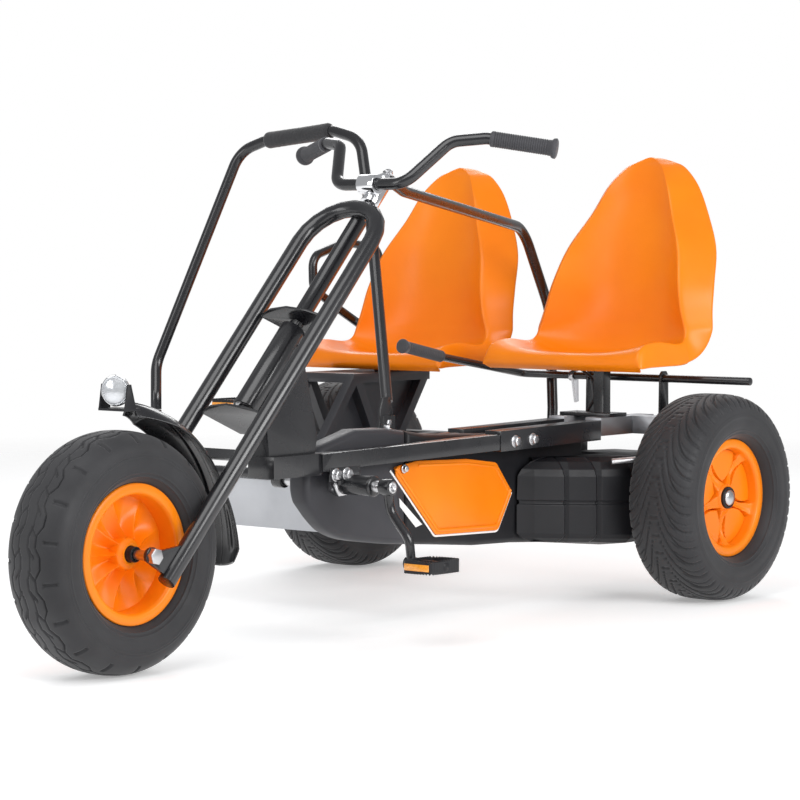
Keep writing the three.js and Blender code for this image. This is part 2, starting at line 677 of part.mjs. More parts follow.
function chainCase() {
  const [y0, y1] = CASE_Y;
  const skin = plateXZ(caseOutline(0), y0, y1).subtract(plateXZ(caseOutline(-4), y0 + 4, y1 - 4));
  const open = box(-1520, -1490, y0 + 4, y1 - 4, 137, 388);
  const hole = barY(CRANK.x, CRANK.z, -80, 20, 22);
  const hollow = skin.subtract(open).subtract(hole);
  const split = -860;
  const frontHalf = hollow.intersect(box(split, -400, y0 - 1, y1 + 1, 100, 500));
  const rearHalf = hollow.intersect(box(-1700, split - GAP, y0 - 1, y1 + 1, 100, 500));
  add("chain_case_front", frontHalf, "grey_plastic");
  add("chain_case_rear", rearHalf, "black_plastic");

  const face = [
    [-802, 340], [-953, 187], [-1171, 180], [-1222, 261], [-1164, 330], [-1060, 344], [-892, 350],
  ];
  const centre = [-1010, 265];
  const towardsCentre = (value, axis) => centre[axis] + (value - centre[axis]) * 0.9;
  const raised = face.map((point) => point.map(towardsCentre));
  const panel = union(plateXZ(face, y1 + GAP, y1 + 5), plateXZ(raised, y1 + GAP, y1 + 7.5));
  add("side_panel", panel, "orange_plastic");
}

// Hub housing: a hollow box round the rear axle, with a nose that fairs it into the chain case.
function hubHousing() {
  const side = [
    [-1236, 148], [-1236, 338], [-1400, 332], [-1600, 332], [-1740, 325], [-1765, 290],
    [-1765, 160], [-1730, 118], [-1530, 118], [-1480, 134],
  ];
  const plan = [
    [-1236, 4], [-1330, 75], [-1400, 110], [-1478, 150], [-1765, 150],
    [-1765, -110], [-1505, -110], [-1505, 4],
  ];
  const outer = plateXZ(side, -120, 160).intersect(plateXY(plan, 100, 400));
  const inside = [[-1512, 126], [-1512, 326], [-1736, 318], [-1757, 286], [-1757, 164], [-1724, 126]];
  const hollow = plateXZ(inside, -104, 144);
  const axlePort = barY(HUB.x, HUB.z, -130, 170, 26);
  const chainPort = box(-1520, -1480, CASE_Y[0] + 3, CASE_Y[1] - 3, 170, 310);
  const joint = box(-1504.7, -1480, -60, CASE_Y[1] + 2, 100, 400);
  const housing = [hollow, axlePort, chainPort, joint].reduce((rest, cut) => rest.subtract(cut), outer);
  add("hub_housing", housing, "black_plastic");
}

function crankset() {
  const { x, z, arm, lean } = CRANK;
  add("crank_axle", barY(x, z, -150, 150, 11.7), "zinc");
  [["left", 1], ["right", -1]].forEach(([side, sign]) => {
    const along = (distance) => [x - sign * distance * Math.sin(lean), z - sign * distance * Math.cos(lean)];
    const corner = (distance, y) => [along(distance)[0], sign * y, along(distance)[1]];
    const [px, pz] = along(arm);
    const span = (a, b) => [sign * a, sign * b].sort((one, other) => one - other);
    const boss = barY(x, z, ...span(132, 158), 17);
    const swan = tube([corner(0, 145), corner(50, 147), corner(105, 190), corner(arm, 190)], 9.5, 40, 10, 2);
    const eye = barY(px, pz, ...span(178, 202), 14);
    const axleBore = barY(x, z, -151, 151, 12);
    const spindleBore = barY(px, pz, -400, 400, 7);
    const bored = union(boss, swan, eye).subtract(axleBore).subtract(spindleBore);
    add(`${side}_crank_arm`, bored, "black_steel");
    pedal(side, px, pz, span(...PEDAL_Y));
    add(`${side}_pedal_spindle`, barY(px, pz, ...span(176, PEDAL_Y[1] - 4), 6.7), "zinc");
  });
  const nut = barY(x, z, 2, 17.7, 24, 6);
  add("bottom_bracket_nut", nut.subtract(barY(x, z, 0, 20, 12 + GAP)), "zinc");
}

// Platform pedal: a block with two windows, bored for its spindle.
function pedal(side, x, z, [y0, y1]) {
  let body = box(x - 48, x + 48, y0, y1, z - 12, z + 12);
  [-27, 27].forEach((dx) => {
    body = body.subtract(box(x + dx - 13, x + dx + 13, y0 + 9, y1 - 9, z - 20, z + 20));
  });
  add(`${side}_pedal`, body.subtract(barY(x, z, -400, 400, 7)), "black_plastic");
}

// Passenger's footrest: a tube from the right rail round to the hoop, with a plate hung below it.
function footrest() {
  const corners = [
    [-985, -110, 336],
    [-940, -150, 308],
    [-852, -190, 303],
    [-852, -790, 303],
    [HOOP_X, -799, 318],
    [HOOP_X, -799, 427],
  ];
  const mount = box(-1010, -960, -112, RAIL_RIGHT[0] - GAP, 330, 384);
  add("footrest_tube", tube(corners, TUBE_RADIUS, 70).add(mount), "black_steel");
  const slope = [[-853, 290], [-856, 290], [-875, 182], [-872, 182]];
  add("footrest_plate", plateXZ(slope, -780, -130), "satin_steel");
}

// Grab hoop in front of the passenger; it leans back so that the right grip can swing past it.
function hoop() {
  const x = HOOP_X;
  const corners = [
    [x, -799, 428.5],
    [x, -799, 462],
    [-949, -827, 530],
    [-1111, -710, 1025],
    [-1119, -636, 1049],
    [-1124, -432, 1067],
    [-1118, -346, 1045],
    [-1065, -273, 883],
    [-933, -114, 469],
  ];
  const foot = box(x - 20, x + 20, -112, -104.3, 398, 452);
  const heel = box(x - 20, x + 6, -116, -98, 444, 478);
  add("grab_hoop", union(tube(corners, TUBE_RADIUS, 75), foot, heel), "black_steel");
  const pad = bar(V(-1119.2, -629.9, 1049.5), V(-1123.8, -439.1, 1066.4), 19, 14);
  const bore = bar(V(-1118.9, -641.1, 1048.5), V(-1124.1, -426.9, 1067.5), TUBE_RADIUS + 1.2, 14);
  add("hoop_pad", pad.subtract(bore), "foam");
}

// Stay from an eye on top of the steering head, over the driver's right side, down to the frame.
function upperStay() {
  const [z0, z1] = STAY_EYE;
  const outer = 14;
  const ring = rakeBar(z0 + 6, z1, outer, 16).subtract(rakeBar(z0, z1 + 5, PIN_RADIUS + GAP, 16));
  add("stay_bearing", ring, "chrome");
  const floor = LOWER_TUBE.z1 + GAP;
  const corners = [
    [-803, -4, 945],
    [-900, -40, 921],
    [-1615, -262, 848],
    [-1712, -254, 651],
    [-1668, -212, 420],
    [-1655, -205, floor],
  ];
  const clearance = rakeBar(z0 - 40, z1 + 60, outer + GAP, 16);
  const below = box(-1750, -1600, -300, -150, 250, floor);
  add("upper_stay", tube(corners, TUBE_RADIUS, 90).subtract(clearance).subtract(below), "black_steel");
}

function armrest() {
  const y = -832;
  const floor = LOWER_TUBE.z1 + GAP;
  const corners = [
    [-1652, -705, floor],
    [-1670, -705, 480],
    [-1748, y, 560],
    [-1764, y, 800],
    [-1631, y, 816],
    [-1506, y, 780],
    [-1508, y, 700],
    [-1600, y, 650],
    [-1722, y, 590],
  ];
  const below = box(-1700, -1600, -750, -680, 300, floor);
  add("armrest_loop", tube(corners, 11, 36, 12, 2).subtract(below), "black_steel");
}

// Handbrake: a rod across the frame in two brackets, with a lever beside the driver's seat.
function handbrake() {
  const { x, y, z, rod } = BRAKE;
  const grip = { from: V(-1328, y, 550.8), to: V(-1190, y, 578) };
  const lever = [[x, 360, z], [x, y, z], [-1342, y, 548], [grip.to.x, y, grip.to.z]];
  add("brake_lever", tube(lever, rod, 18, 10, 3), "black_steel");
  const armOutline = [[x - 14, z - 62], [x - 2, z - 64], [x + 12, z], [x - 12, z + 4]];
  const arm = plateXZ(armOutline, -130, -125).subtract(barY(x, z, -200, 0, rod + GAP));
  const collar = sleeve(rod + GAP, rod + 5, -136, -124.5).translate([x, 0, z]);
  add("brake_arm", arm.add(collar), "zinc");

  const outwards = V().subVectors(grip.to, grip.from).normalize();
  const sleeveEnd = grip.to.clone().addScaledVector(outwards, 7);
  const body = bar(grip.from, sleeveEnd, 13.5).add(bar(grip.to, sleeveEnd, 16.5));
  const boreEnd = grip.to.clone().addScaledVector(outwards, GAP);
  const bore = bar(grip.from.clone().addScaledVector(outwards, -9), boreEnd, rod + GAP);
  add("brake_grip", body.subtract(bore), "grip_rubber");

  const foot = CROSS.z1 + GAP;
  const outline = [
    [x - 18, foot], [x + 18, foot], [x + 16, z + 8], [x + 8, z + 17], [x - 8, z + 17], [x - 16, z + 8],
  ];
  [["inner", -80], ["outer", 125]].forEach(([name, middle]) => {
    const bracket = plateXZ(outline, middle - 2.5, middle + 2.5);
    const bored = bracket.subtract(barY(x, z, middle - 10, middle + 10, rod + GAP));
    add(`brake_bracket_${name}`, bored, "black_steel");
  });
}

frontWheel();
rearWheel("left", LEFT_WHEEL_Y, 1);
rearWheel("right", RIGHT_WHEEL_Y, -1);
forkFrame();
axlePlates();
fender();
headlamp();
handlebar();
grips();
mainFrame();
rearStructure();
passengerFrame();
seats();
drive();
chainCase();
hubHousing();
crankset();
footrest();
hoop();
upperStay();
armrest();
handbrake();

export default group;
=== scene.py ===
"""Looks of a three-wheeled pedal go kart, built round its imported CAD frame.

Metres, +X forward, +Y to the rider's left, +Z up.
"""

import json
import math

import bmesh
import bpy
import numpy as np
from mathutils import Matrix, Vector


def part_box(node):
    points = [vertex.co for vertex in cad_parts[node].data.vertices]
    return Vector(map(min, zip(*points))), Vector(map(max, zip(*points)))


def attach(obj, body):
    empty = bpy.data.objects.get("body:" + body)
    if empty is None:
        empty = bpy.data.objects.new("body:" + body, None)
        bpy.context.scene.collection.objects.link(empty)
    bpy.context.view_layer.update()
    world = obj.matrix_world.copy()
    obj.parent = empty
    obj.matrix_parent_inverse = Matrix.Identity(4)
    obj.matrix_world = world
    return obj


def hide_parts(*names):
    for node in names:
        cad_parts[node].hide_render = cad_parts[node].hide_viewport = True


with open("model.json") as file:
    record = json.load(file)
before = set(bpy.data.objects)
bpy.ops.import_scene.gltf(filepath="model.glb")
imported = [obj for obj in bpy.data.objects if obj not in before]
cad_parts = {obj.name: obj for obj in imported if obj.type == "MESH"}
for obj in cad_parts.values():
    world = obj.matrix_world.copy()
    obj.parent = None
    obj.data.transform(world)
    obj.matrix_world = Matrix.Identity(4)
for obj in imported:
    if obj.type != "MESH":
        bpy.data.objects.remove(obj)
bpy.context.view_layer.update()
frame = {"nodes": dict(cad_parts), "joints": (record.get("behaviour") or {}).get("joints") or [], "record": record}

UP = Vector((0, 0, 1))
TAU = 2 * math.pi
TUBE_RADIUS = 0.0125


def centre(node):
    low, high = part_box(node)
    return (low + high) / 2


JOINTS = {joint["name"]: joint for joint in frame["joints"]}


def pivot(joint):
    return Vector(JOINTS[joint]["pos_m"])


# ---------------------------------------------------------------- materials

def new_material(name):
    material = bpy.data.materials.new(name)
    material.use_nodes = True
    nodes = material.node_tree.nodes
    return material, nodes, material.node_tree.links, nodes["Principled BSDF"]


def noise(nodes, links, scale, detail=4.0, stretch=None):
    """Noise in object space, so that it stays put when a piece moves."""
    coords = nodes.new("ShaderNodeTexCoord")
    mapping = nodes.new("ShaderNodeMapping")
    if stretch:
        mapping.inputs["Scale"].default_value = stretch
    texture = nodes.new("ShaderNodeTexNoise")
    texture.inputs["Scale"].default_value = scale
    texture.inputs["Detail"].default_value = detail
    links.new(coords.outputs["Object"], mapping.inputs["Vector"])
    links.new(mapping.outputs["Vector"], texture.inputs["Vector"])
    return texture


def ramp(nodes, links, source, low, high, start=0.3, end=0.7):
    """Maps a texture's factor to a range of greys or colours."""
    node = nodes.new("ShaderNodeValToRGB")
    node.color_ramp.elements[0].position = start
    node.color_ramp.elements[1].position = end
    grey = lambda value: (value, value, value, 1) if isinstance(value, float) else (*value, 1)
    node.color_ramp.elements[0].color = grey(low)
    node.color_ramp.elements[1].color = grey(high)
    links.new(source, node.inputs["Fac"])
    return node.outputs["Color"]


def bump(nodes, links, shader, height, strength, distance):
    node = nodes.new("ShaderNodeBump")
    node.inputs["Strength"].default_value = strength
    node.inputs["Distance"].default_value = distance
    links.new(height, node.inputs["Height"])
    links.new(node.outputs["Normal"], shader.inputs["Normal"])


def surface(name, dark, light, rough, metallic=0.0, grain=900.0, grain_depth=0.00005, wear=0.25,
            stretch=None, coat=0.0, sheen=0.0, specular=0.5):
    """A surface whose colour and roughness drift slowly, with a fine grain and paler worn edges."""
    material, nodes, links, shader = new_material(name)
    drift = noise(nodes, links, 6.0, 5.0)
    colour = ramp(nodes, links, drift.outputs["Fac"], dark, light)
    edge = nodes.new("ShaderNodeNewGeometry")
    worn = ramp(nodes, links, edge.outputs["Pointiness"], 0.0, wear, 0.52, 0.6)
    blend = nodes.new("ShaderNodeMix")
    blend.data_type = "RGBA"
    links.new(worn, blend.inputs["Factor"])
    links.new(colour, blend.inputs[6])
    blend.inputs[7].default_value = (*[min(1.0, c * 1.8 + 0.03) for c in light], 1)
    links.new(blend.outputs[2], shader.inputs["Base Color"])
    smudge = noise(nodes, links, 14.0, 6.0)
    gloss = ramp(nodes, links, smudge.outputs["Fac"], float(rough[0]), float(rough[1]))
    links.new(gloss, shader.inputs["Roughness"])
    fine = noise(nodes, links, grain, 2.0, stretch)
    bump(nodes, links, shader, fine.outputs["Fac"], 0.35, grain_depth)
    shader.inputs["Metallic"].default_value = metallic
    shader.inputs["Coat Weight"].default_value = coat
    shader.inputs["Coat Roughness"].default_value = 0.12
    shader.inputs["Sheen Weight"].default_value = sheen
    shader.inputs["Specular IOR Level"].default_value = specular
    return material


def glass(name):
    material, nodes, links, shader = new_material(name)
    shader.inputs["Base Color"].default_value = (0.96, 0.98, 1.0, 1)
    shader.inputs["Transmission Weight"].default_value = 0.75
    shader.inputs["IOR"].default_value = 1.45
    haze = noise(nodes, links, 30.0)
    links.new(ramp(nodes, links, haze.outputs["Fac"], 0.03, 0.12), shader.inputs["Roughness"])
    ribs = noise(nodes, links, 60.0, 0.0, (0.2, 8.0, 0.2))
    bump(nodes, links, shader, ribs.outputs["Fac"], 0.3, 0.0006)
    return material


def reflector_amber(name):
    material, nodes, links, shader = new_material(name)
    coords = nodes.new("ShaderNodeTexCoord")
    cells = nodes.new("ShaderNodeTexVoronoi")
    cells.inputs["Scale"].default_value = 420.0
    links.new(coords.outputs["Object"], cells.inputs["Vector"])
    links.new(ramp(nodes, links, cells.outputs["Distance"], (0.75, 0.2, 0.01), (1.0, 0.42, 0.05), 0.1, 0.6),
              shader.inputs["Base Color"])
    bump(nodes, links, shader, cells.outputs["Distance"], 0.6, 0.0004)
    shader.inputs["Roughness"].default_value = 0.12
    shader.inputs["Coat Weight"].default_value = 1.0
    return material


def make_materials():
    zinc_stretch = (1.0, 1.0, 12.0)
    return {
        "black_steel": surface("powder_coat_black", (0.006, 0.006, 0.008), (0.010, 0.010, 0.012),
                               (0.22, 0.34), grain=700.0, grain_depth=0.00004, wear=0.2, coat=0.5),
        "grey_steel": surface("powder_coat_grey", (0.020, 0.020, 0.024), (0.028, 0.028, 0.033), (0.36, 0.5),
                              grain=700.0, grain_depth=0.00005, coat=0.1),
        "black_plastic": surface("moulded_black", (0.006, 0.006, 0.008), (0.011, 0.011, 0.013), (0.36, 0.5),
                                 grain=1500.0, grain_depth=0.00006, specular=0.3),
        "grey_plastic": surface("moulded_grey", (0.024, 0.024, 0.029), (0.032, 0.032, 0.038), (0.42, 0.55),
                                grain=1500.0, grain_depth=0.00006),
        "orange_plastic": surface("moulded_orange", (0.90, 0.205, 0.002), (0.95, 0.24, 0.003), (0.28, 0.40),
                                  grain=1100.0, grain_depth=0.00003, wear=0.12, specular=0.34),
        "tyre_rubber": surface("tyre_rubber", (0.011, 0.011, 0.013), (0.021, 0.021, 0.024), (0.55, 0.75),
                               grain=900.0, grain_depth=0.00012, wear=0.3, sheen=0.15),
        "grip_rubber": surface("grip_rubber", (0.030, 0.030, 0.035), (0.044, 0.044, 0.050), (0.6, 0.75),
                               grain=1300.0, grain_depth=0.00010, sheen=0.2),
        "foam": surface("closed_cell_foam", (0.014, 0.014, 0.016), (0.024, 0.024, 0.027), (0.85, 0.95),
                        grain=600.0, grain_depth=0.0004, wear=0.1, sheen=0.35),
        "zinc": surface("zinc_plate", (0.50, 0.50, 0.51), (0.68, 0.68, 0.70), (0.2, 0.38), metallic=1.0,
                        grain=400.0, grain_depth=0.00005, stretch=zinc_stretch),
        "chrome": surface("chrome", (0.78, 0.79, 0.81), (0.9, 0.9, 0.92), (0.04, 0.1), metallic=1.0,
                          grain=200.0, grain_depth=0.00001),
        "satin_steel": surface("galvanised_satin", (0.30, 0.31, 0.33), (0.46, 0.47, 0.49), (0.32, 0.5),
                               metallic=0.85, grain=120.0, grain_depth=0.00008, stretch=(8.0, 1.0, 8.0)),
        "lens": glass("lamp_lens"),
        "amber": reflector_amber("reflector_amber"),
        "white_film": surface("white_film", (0.78, 0.78, 0.77), (0.85, 0.85, 0.84), (0.3, 0.42)),
        "cable": surface("cable_sheath", (0.010, 0.010, 0.011), (0.016, 0.016, 0.018), (0.35, 0.5)),
    }


MATERIALS = make_materials()


# ---------------------------------------------------------------- mesh helpers

def piece(name, vertices, faces, slot, body, replaces=(), material=None, smooth=True):
    """A new mesh piece that rides on a CAD body and may stand for CAD nodes."""
    mesh = bpy.data.meshes.new(name)
    mesh.from_pydata([tuple(v) for v in vertices], [], [tuple(f) for f in faces])
    mesh.validate()
    mesh.update()
    obj = bpy.data.objects.new(name, mesh)
    bpy.context.scene.collection.objects.link(obj)
    mesh.materials.append(MATERIALS[material or slot])
    orient_outwards(mesh)
    for polygon in mesh.polygons:
        polygon.use_smooth = smooth
    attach(obj, body)
    if replaces:
        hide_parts(*replaces)
    return obj


def orient_outwards(mesh):
    work = bmesh.new()
    work.from_mesh(mesh)
    bmesh.ops.recalc_face_normals(work, faces=work.faces)
    work.to_mesh(mesh)
    work.free()


def grid_faces(rows, columns, close_rows=False, close_columns=False):
    faces = []
    for i in range(rows if close_rows else rows - 1):
        for j in range(columns if close_columns else columns - 1):
            i2 = (i + 1) % rows
            j2 = (j + 1) % columns
            faces.append((i * columns + j, i * columns + j2, i2 * columns + j2, i2 * columns + j))
    return faces


def bevelled(obj, width, segments=2, angle=40.0):
    modifier = obj.modifiers.new("edge", "BEVEL")
    modifier.width = width
    modifier.segments = segments
    modifier.limit_method = "ANGLE"
    modifier.angle_limit = math.radians(angle)
    split = obj.modifiers.new("crease", "EDGE_SPLIT")
    split.split_angle = math.radians(angle)
    return obj


def basis(direction):
    """Two unit vectors across a direction."""
    along = Vector(direction).normalized()
    helper = UP if abs(along.z) < 0.9 else Vector((1, 0, 0))
    side = along.cross(helper).normalized()
    return along, side, side.cross(along).normalized()


def turned(name, start, direction, profile, slot, body, sides=40, **options):
    """A turned piece: profile is (distance along direction, radius), closed by its ends on the axis."""
    along, side, over = basis(direction)
    vertices = []
    for distance, radius in profile:
        for k in range(sides):
            angle = TAU * k / sides
            spoke = side * math.cos(angle) + over * math.sin(angle)
            vertices.append(Vector(start) + along * distance + spoke * radius)
    faces = grid_faces(len(profile), sides, close_columns=True)
    faces.append(tuple(range(sides))[::-1])
    faces.append(tuple((len(profile) - 1) * sides + k for k in range(sides)))
    return piece(name, vertices, faces, slot, body, **options)


# Largest share of a straight run that one bend may take up.
BEND_SHARE = 0.48


def rounded_path(corners, radius, steps=10):
    """Corner points joined by straight runs and round bends."""
    points = [Vector(corners[0])]
    for before, corner, after in zip(corners, corners[1:], corners[2:]):
        before, corner, after = Vector(before), Vector(corner), Vector(after)
        into = (corner - before).normalized()
        out = (after - corner).normalized()
        turn = into.angle(out)
        if turn < 0.02:
            continue
        room = BEND_SHARE * min((corner - before).length, (after - corner).length)
        reach = min(radius * math.tan(turn / 2), room)
        bend = reach / math.tan(turn / 2)
        inwards = (out - into * out.dot(into)).normalized()
        start = corner - into * reach
        for k in range(steps + 1):
            angle = turn * k / steps
            points.append(start + into * bend * math.sin(angle) + inwards * bend * (1 - math.cos(angle)))
    points.append(Vector(corners[-1]))
    return points


def pipe(name, points, radius, slot, body, sides=24, **options):
    """A round rod along points, with its section carried along without twist and flat ends."""
    tangents = []
    for i in range(len(points)):
        tangents.append((points[min(i + 1, len(points) - 1)] - points[max(i - 1, 0)]).normalized())
    _, side, _ = basis(tangents[0])
    vertices = []
    for point, tangent in zip(points, tangents):
        side = (side - tangent * side.dot(tangent)).normalized()
        over = tangent.cross(side)
        for k in range(sides):
            angle = TAU * k / sides
            vertices.append(point + (side * math.cos(angle) + over * math.sin(angle)) * radius)
    faces = grid_faces(len(points), sides, close_columns=True)
    faces.append(tuple(range(sides))[::-1])
    faces.append(tuple((len(points) - 1) * sides + k for k in range(sides)))
    obj = piece(name, vertices, faces, slot, body, **options)
    split = obj.modifiers.new("crease", "EDGE_SPLIT")
    split.split_angle = math.radians(50)
    return obj


def around(rows_r, rows_y, middle, segments):
    """Vertices of a wheel piece: arrays of radius and width by section point and angle."""
    angles = np.linspace(0, TAU, segments, endpoint=False)
    x = rows_r * np.cos(angles) + middle.x
    z = rows_r * np.sin(angles) + middle.z
    y = rows_y + middle.y
    return np.stack([x, y, z], axis=-1).reshape(-1, 3)


# ---------------------------------------------------------------- tyres

def smooth_step(value, low, high):
    t = np.clip((value - low) / (high - low), 0, 1)
    return t * t * (3 - 2 * t)


def groove(phase, half_width):
    """1 inside a groove centred on whole numbers of phase, 0 outside, with sloped walls."""
    gap = np.abs(phase - np.round(phase))
    return 1 - smooth_step(gap, half_width * 0.7, half_width * 1.3)


def swept_tread(angle, across):
    """Curved V grooves that run from the middle of the tread out to the shoulder."""
    side = np.abs(across)
    sweep = 1 - (1 - side) ** 2.2
    turns = angle / TAU
    reach = smooth_step(side, 0.04, 0.08) * (1 - smooth_step(side, 0.93, 0.99))
    main = groove(turns * 34 + 3.6 * sweep, 0.075)
    fine = groove(turns * 68 + 5.0 * sweep + 0.25, 0.06) * smooth_step(side, 0.42, 0.5) * 0.6
    return np.maximum(main, fine) * reach


def block_tread(angle, across):
    """Stepped zigzag grooves round the tyre, slanted cuts between them and slits out to the shoulder."""
    side = np.abs(across)
    turns = angle / TAU * 18 + 0.5 * (across > 0)
    wave = 2 * np.abs(turns - np.floor(turns + 0.5))
    step = np.clip(wave * 2.2 - 0.6, 0, 1)
    zigzag = groove(side - 0.36 - 0.15 * step, 0.020)
    inner = groove(side - 0.12 - 0.10 * step, 0.016) * 0.8
    slant = groove(turns * 2 + 2.2 * side, 0.070) * (side > 0.16) * (side < 0.34) * 0.7
    slit = groove(turns, 0.042) * smooth_step(side, 0.54, 0.58) * (1 - smooth_step(side, 0.86, 0.90))
    return np.maximum.reduce([zigzag, inner, slant, slit])


def tyre(node, body, tread, power, wall_power, depth, segments=640):
    low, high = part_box(node)
    middle = (low + high) / 2
    radius = (high.z - low.z) / 2
    half_width = (high.y - low.y) / 2
    bead_radius = 0.1255
    flange_radius = 0.1350
    bead_half = 0.0500
    half_height = (radius - bead_radius) / 2
    mid_radius = (radius + bead_radius) / 2

    bend = np.linspace(0, math.pi, 150)
    lift = np.cos(bend)
    section_y = half_width * np.sin(bend) ** (2 / np.where(lift > 0, power, wall_power))
    section_r = mid_radius + half_height * np.sign(lift) * np.abs(lift) ** (2 / power)
    keep = ~((lift < 0) & (section_y < bead_half)) & (section_r > flange_radius)
    y = np.concatenate([section_y[keep], [bead_half, bead_half - 0.004]])
    r = np.concatenate([section_r[keep], [flange_radius, bead_radius]])
    y = np.concatenate([y, -y[::-1][:-1]])
    r = np.concatenate([r, r[::-1][:-1]])

    normal_r = -np.gradient(y)
    normal_y = np.gradient(r)
    length = np.hypot(normal_r, normal_y) + 1e-9
    outward = np.sign(normal_r[0] * 1.0) or 1.0
    normal_r, normal_y = outward * normal_r / length, outward * normal_y / length

    angles = np.linspace(0, TAU, segments, endpoint=False)
    across = (y / half_width)[:, None]
    on_tread = (r > radius - 0.42 * (radius - bead_radius))[:, None]
    cut = tread(angles[None, :], across) * on_tread
    height = (r - bead_radius) / (radius - bead_radius)
    rings = np.zeros_like(r)
    for level, size in ((0.20, 0.0016), (0.27, 0.0010), (0.55, 0.0016), (0.60, 0.0010)):
        rings += size * np.exp(-((height - level) / 0.012) ** 2)
    rings *= r < radius - 0.008
    offset = rings[:, None] - depth * cut
    rows_r = r[:, None] + offset * normal_r[:, None]
    rows_y = y[:, None] + offset * normal_y[:, None]
    vertices = around(rows_r, rows_y, middle, segments)
    faces = grid_faces(len(r), segments, close_rows=True, close_columns=True)
    piece("look_" + node, vertices, faces, "tyre_rubber", body, replaces=(node,))


# ---------------------------------------------------------------- rims

RIM = {"outer": 0.1335, "lip": 0.1140, "half": 0.0550, "bed": 0.1247, "hub": 0.0300, "bore": 0.0155}


def spoked_face(radius, angle):
    """Outer face of a rear rim: five rounded spokes over deep pockets."""
    count = 5
    nearest = (angle + math.pi / 2) / TAU * count
    swing = np.abs(nearest - np.round(nearest)) * TAU / count
    across = radius * np.sin(swing)
    along = np.clip((radius - RIM["hub"]) / (RIM["lip"] - RIM["hub"]), 0, 1)
    half = 0.0125 - 0.0035 * np.sin(math.pi * along) + 0.010 * along ** 5 + 0.010 * (1 - along) ** 6
    spoke = 1 - smooth_step(across, half * 0.72, half * 1.12)
    crest = 0.040 - 0.016 * np.sin(math.pi * np.clip(along, 0, 1) ** 0.9) + 0.004 * along
    channel = 0.0030 * np.exp(-((across / half) / 0.34) ** 2) * np.sin(math.pi * along)
    floor = -0.030
    return floor + (crest - channel - floor) * spoke


def vaned_face(radius, angle):
    """Outer face of the front rim: a deep dish with vanes that fan out from the hub."""
    count = 9
    phase = angle / TAU * count
    ridge = (1 - np.abs(phase - np.round(phase)) * 2) ** 1.6
    along = np.clip((radius - RIM["hub"]) / (RIM["lip"] - RIM["hub"]), 0, 1)
    vane = 0.026 * (1 - along) ** 0.8 * ridge
    return 0.000 + 0.012 * along ** 3 + vane + 0.014 * (1 - along) ** 4


def rim(node, body, face, outer_side, hub_height, segments=320):
    middle = centre(node)
    angles = np.linspace(0, TAU, segments, endpoint=False)[None, :]

    def half_section(side):
        dish = np.linspace(RIM["hub"] + 0.002, RIM["lip"] - 0.005, 36)[:, None]
        dish_r = np.repeat(dish, segments, axis=1)
        dish_y = face(dish_r, angles * 1.0)
        edge = [(RIM["lip"] - 0.003, 0.047), (RIM["lip"], 0.0535), (RIM["lip"] + 0.003, RIM["half"]),
                (RIM["outer"] - 0.002, RIM["half"]), (RIM["outer"], RIM["half"] - 0.002),
                (RIM["outer"], 0.0498), (RIM["bed"], 0.0474)]
        boss = [(RIM["bore"], hub_height - 0.002), (RIM["bore"] + 0.001, hub_height), (0.021, hub_height),
                (0.0225, hub_height - 0.003), (RIM["hub"] - 0.003, hub_height - 0.004),
                (RIM["hub"], hub_height - 0.009)]
        r = np.concatenate([np.full((1, segments), a) for a, _ in boss] + [dish_r]
                           + [np.full((1, segments), a) for a, _ in edge])
        y = np.concatenate([np.full((1, segments), b) for _, b in boss] + [dish_y]
                           + [np.full((1, segments), b) for _, b in edge])
        return r, side * y

    front_r, front_y = half_section(outer_side)
    back_r, back_y = half_section(-outer_side)
    rows_r = np.concatenate([front_r, back_r[::-1]])
    rows_y = np.concatenate([front_y, back_y[::-1]])
    vertices = around(rows_r, rows_y, middle, segments)
    faces = grid_faces(len(rows_r), segments, close_rows=True, close_columns=True)
    obj = piece("look_" + node, vertices, faces, "orange_plastic", body, replaces=(node,))
    split = obj.modifiers.new("crease", "EDGE_SPLIT")
    split.split_angle = math.radians(55)


def hub_ends():
    """Black rings and domed bright nuts in the middle of the rear rims."""
    for side, sign in (("left", 1), ("right", -1)):
        node = f"{side}_rear_rim"
        body = f"{side}_wheel"
        start = centre(node) + Vector((0, sign * 0.036, 0))
        turned(f"look_{side}_hub_ring", start, (0, sign, 0),
               [(0, 0.0245), (0.0105, 0.0250), (0.013, 0.0240), (0.0135, 0.0205), (0.011, 0.0195)],
               "black_plastic", body, replaces=(f"{side}_rear_hub_cap",))
        turned(f"{side}_hub_nut", start + Vector((0, sign * 0.011, 0)), (0, sign, 0),
               [(0, 0.0185), (0.003, 0.0185), (0.0055, 0.0165), (0.008, 0.011), (0.0092, 0.004)],
               "zinc", body)


# ---------------------------------------------------------------- seats

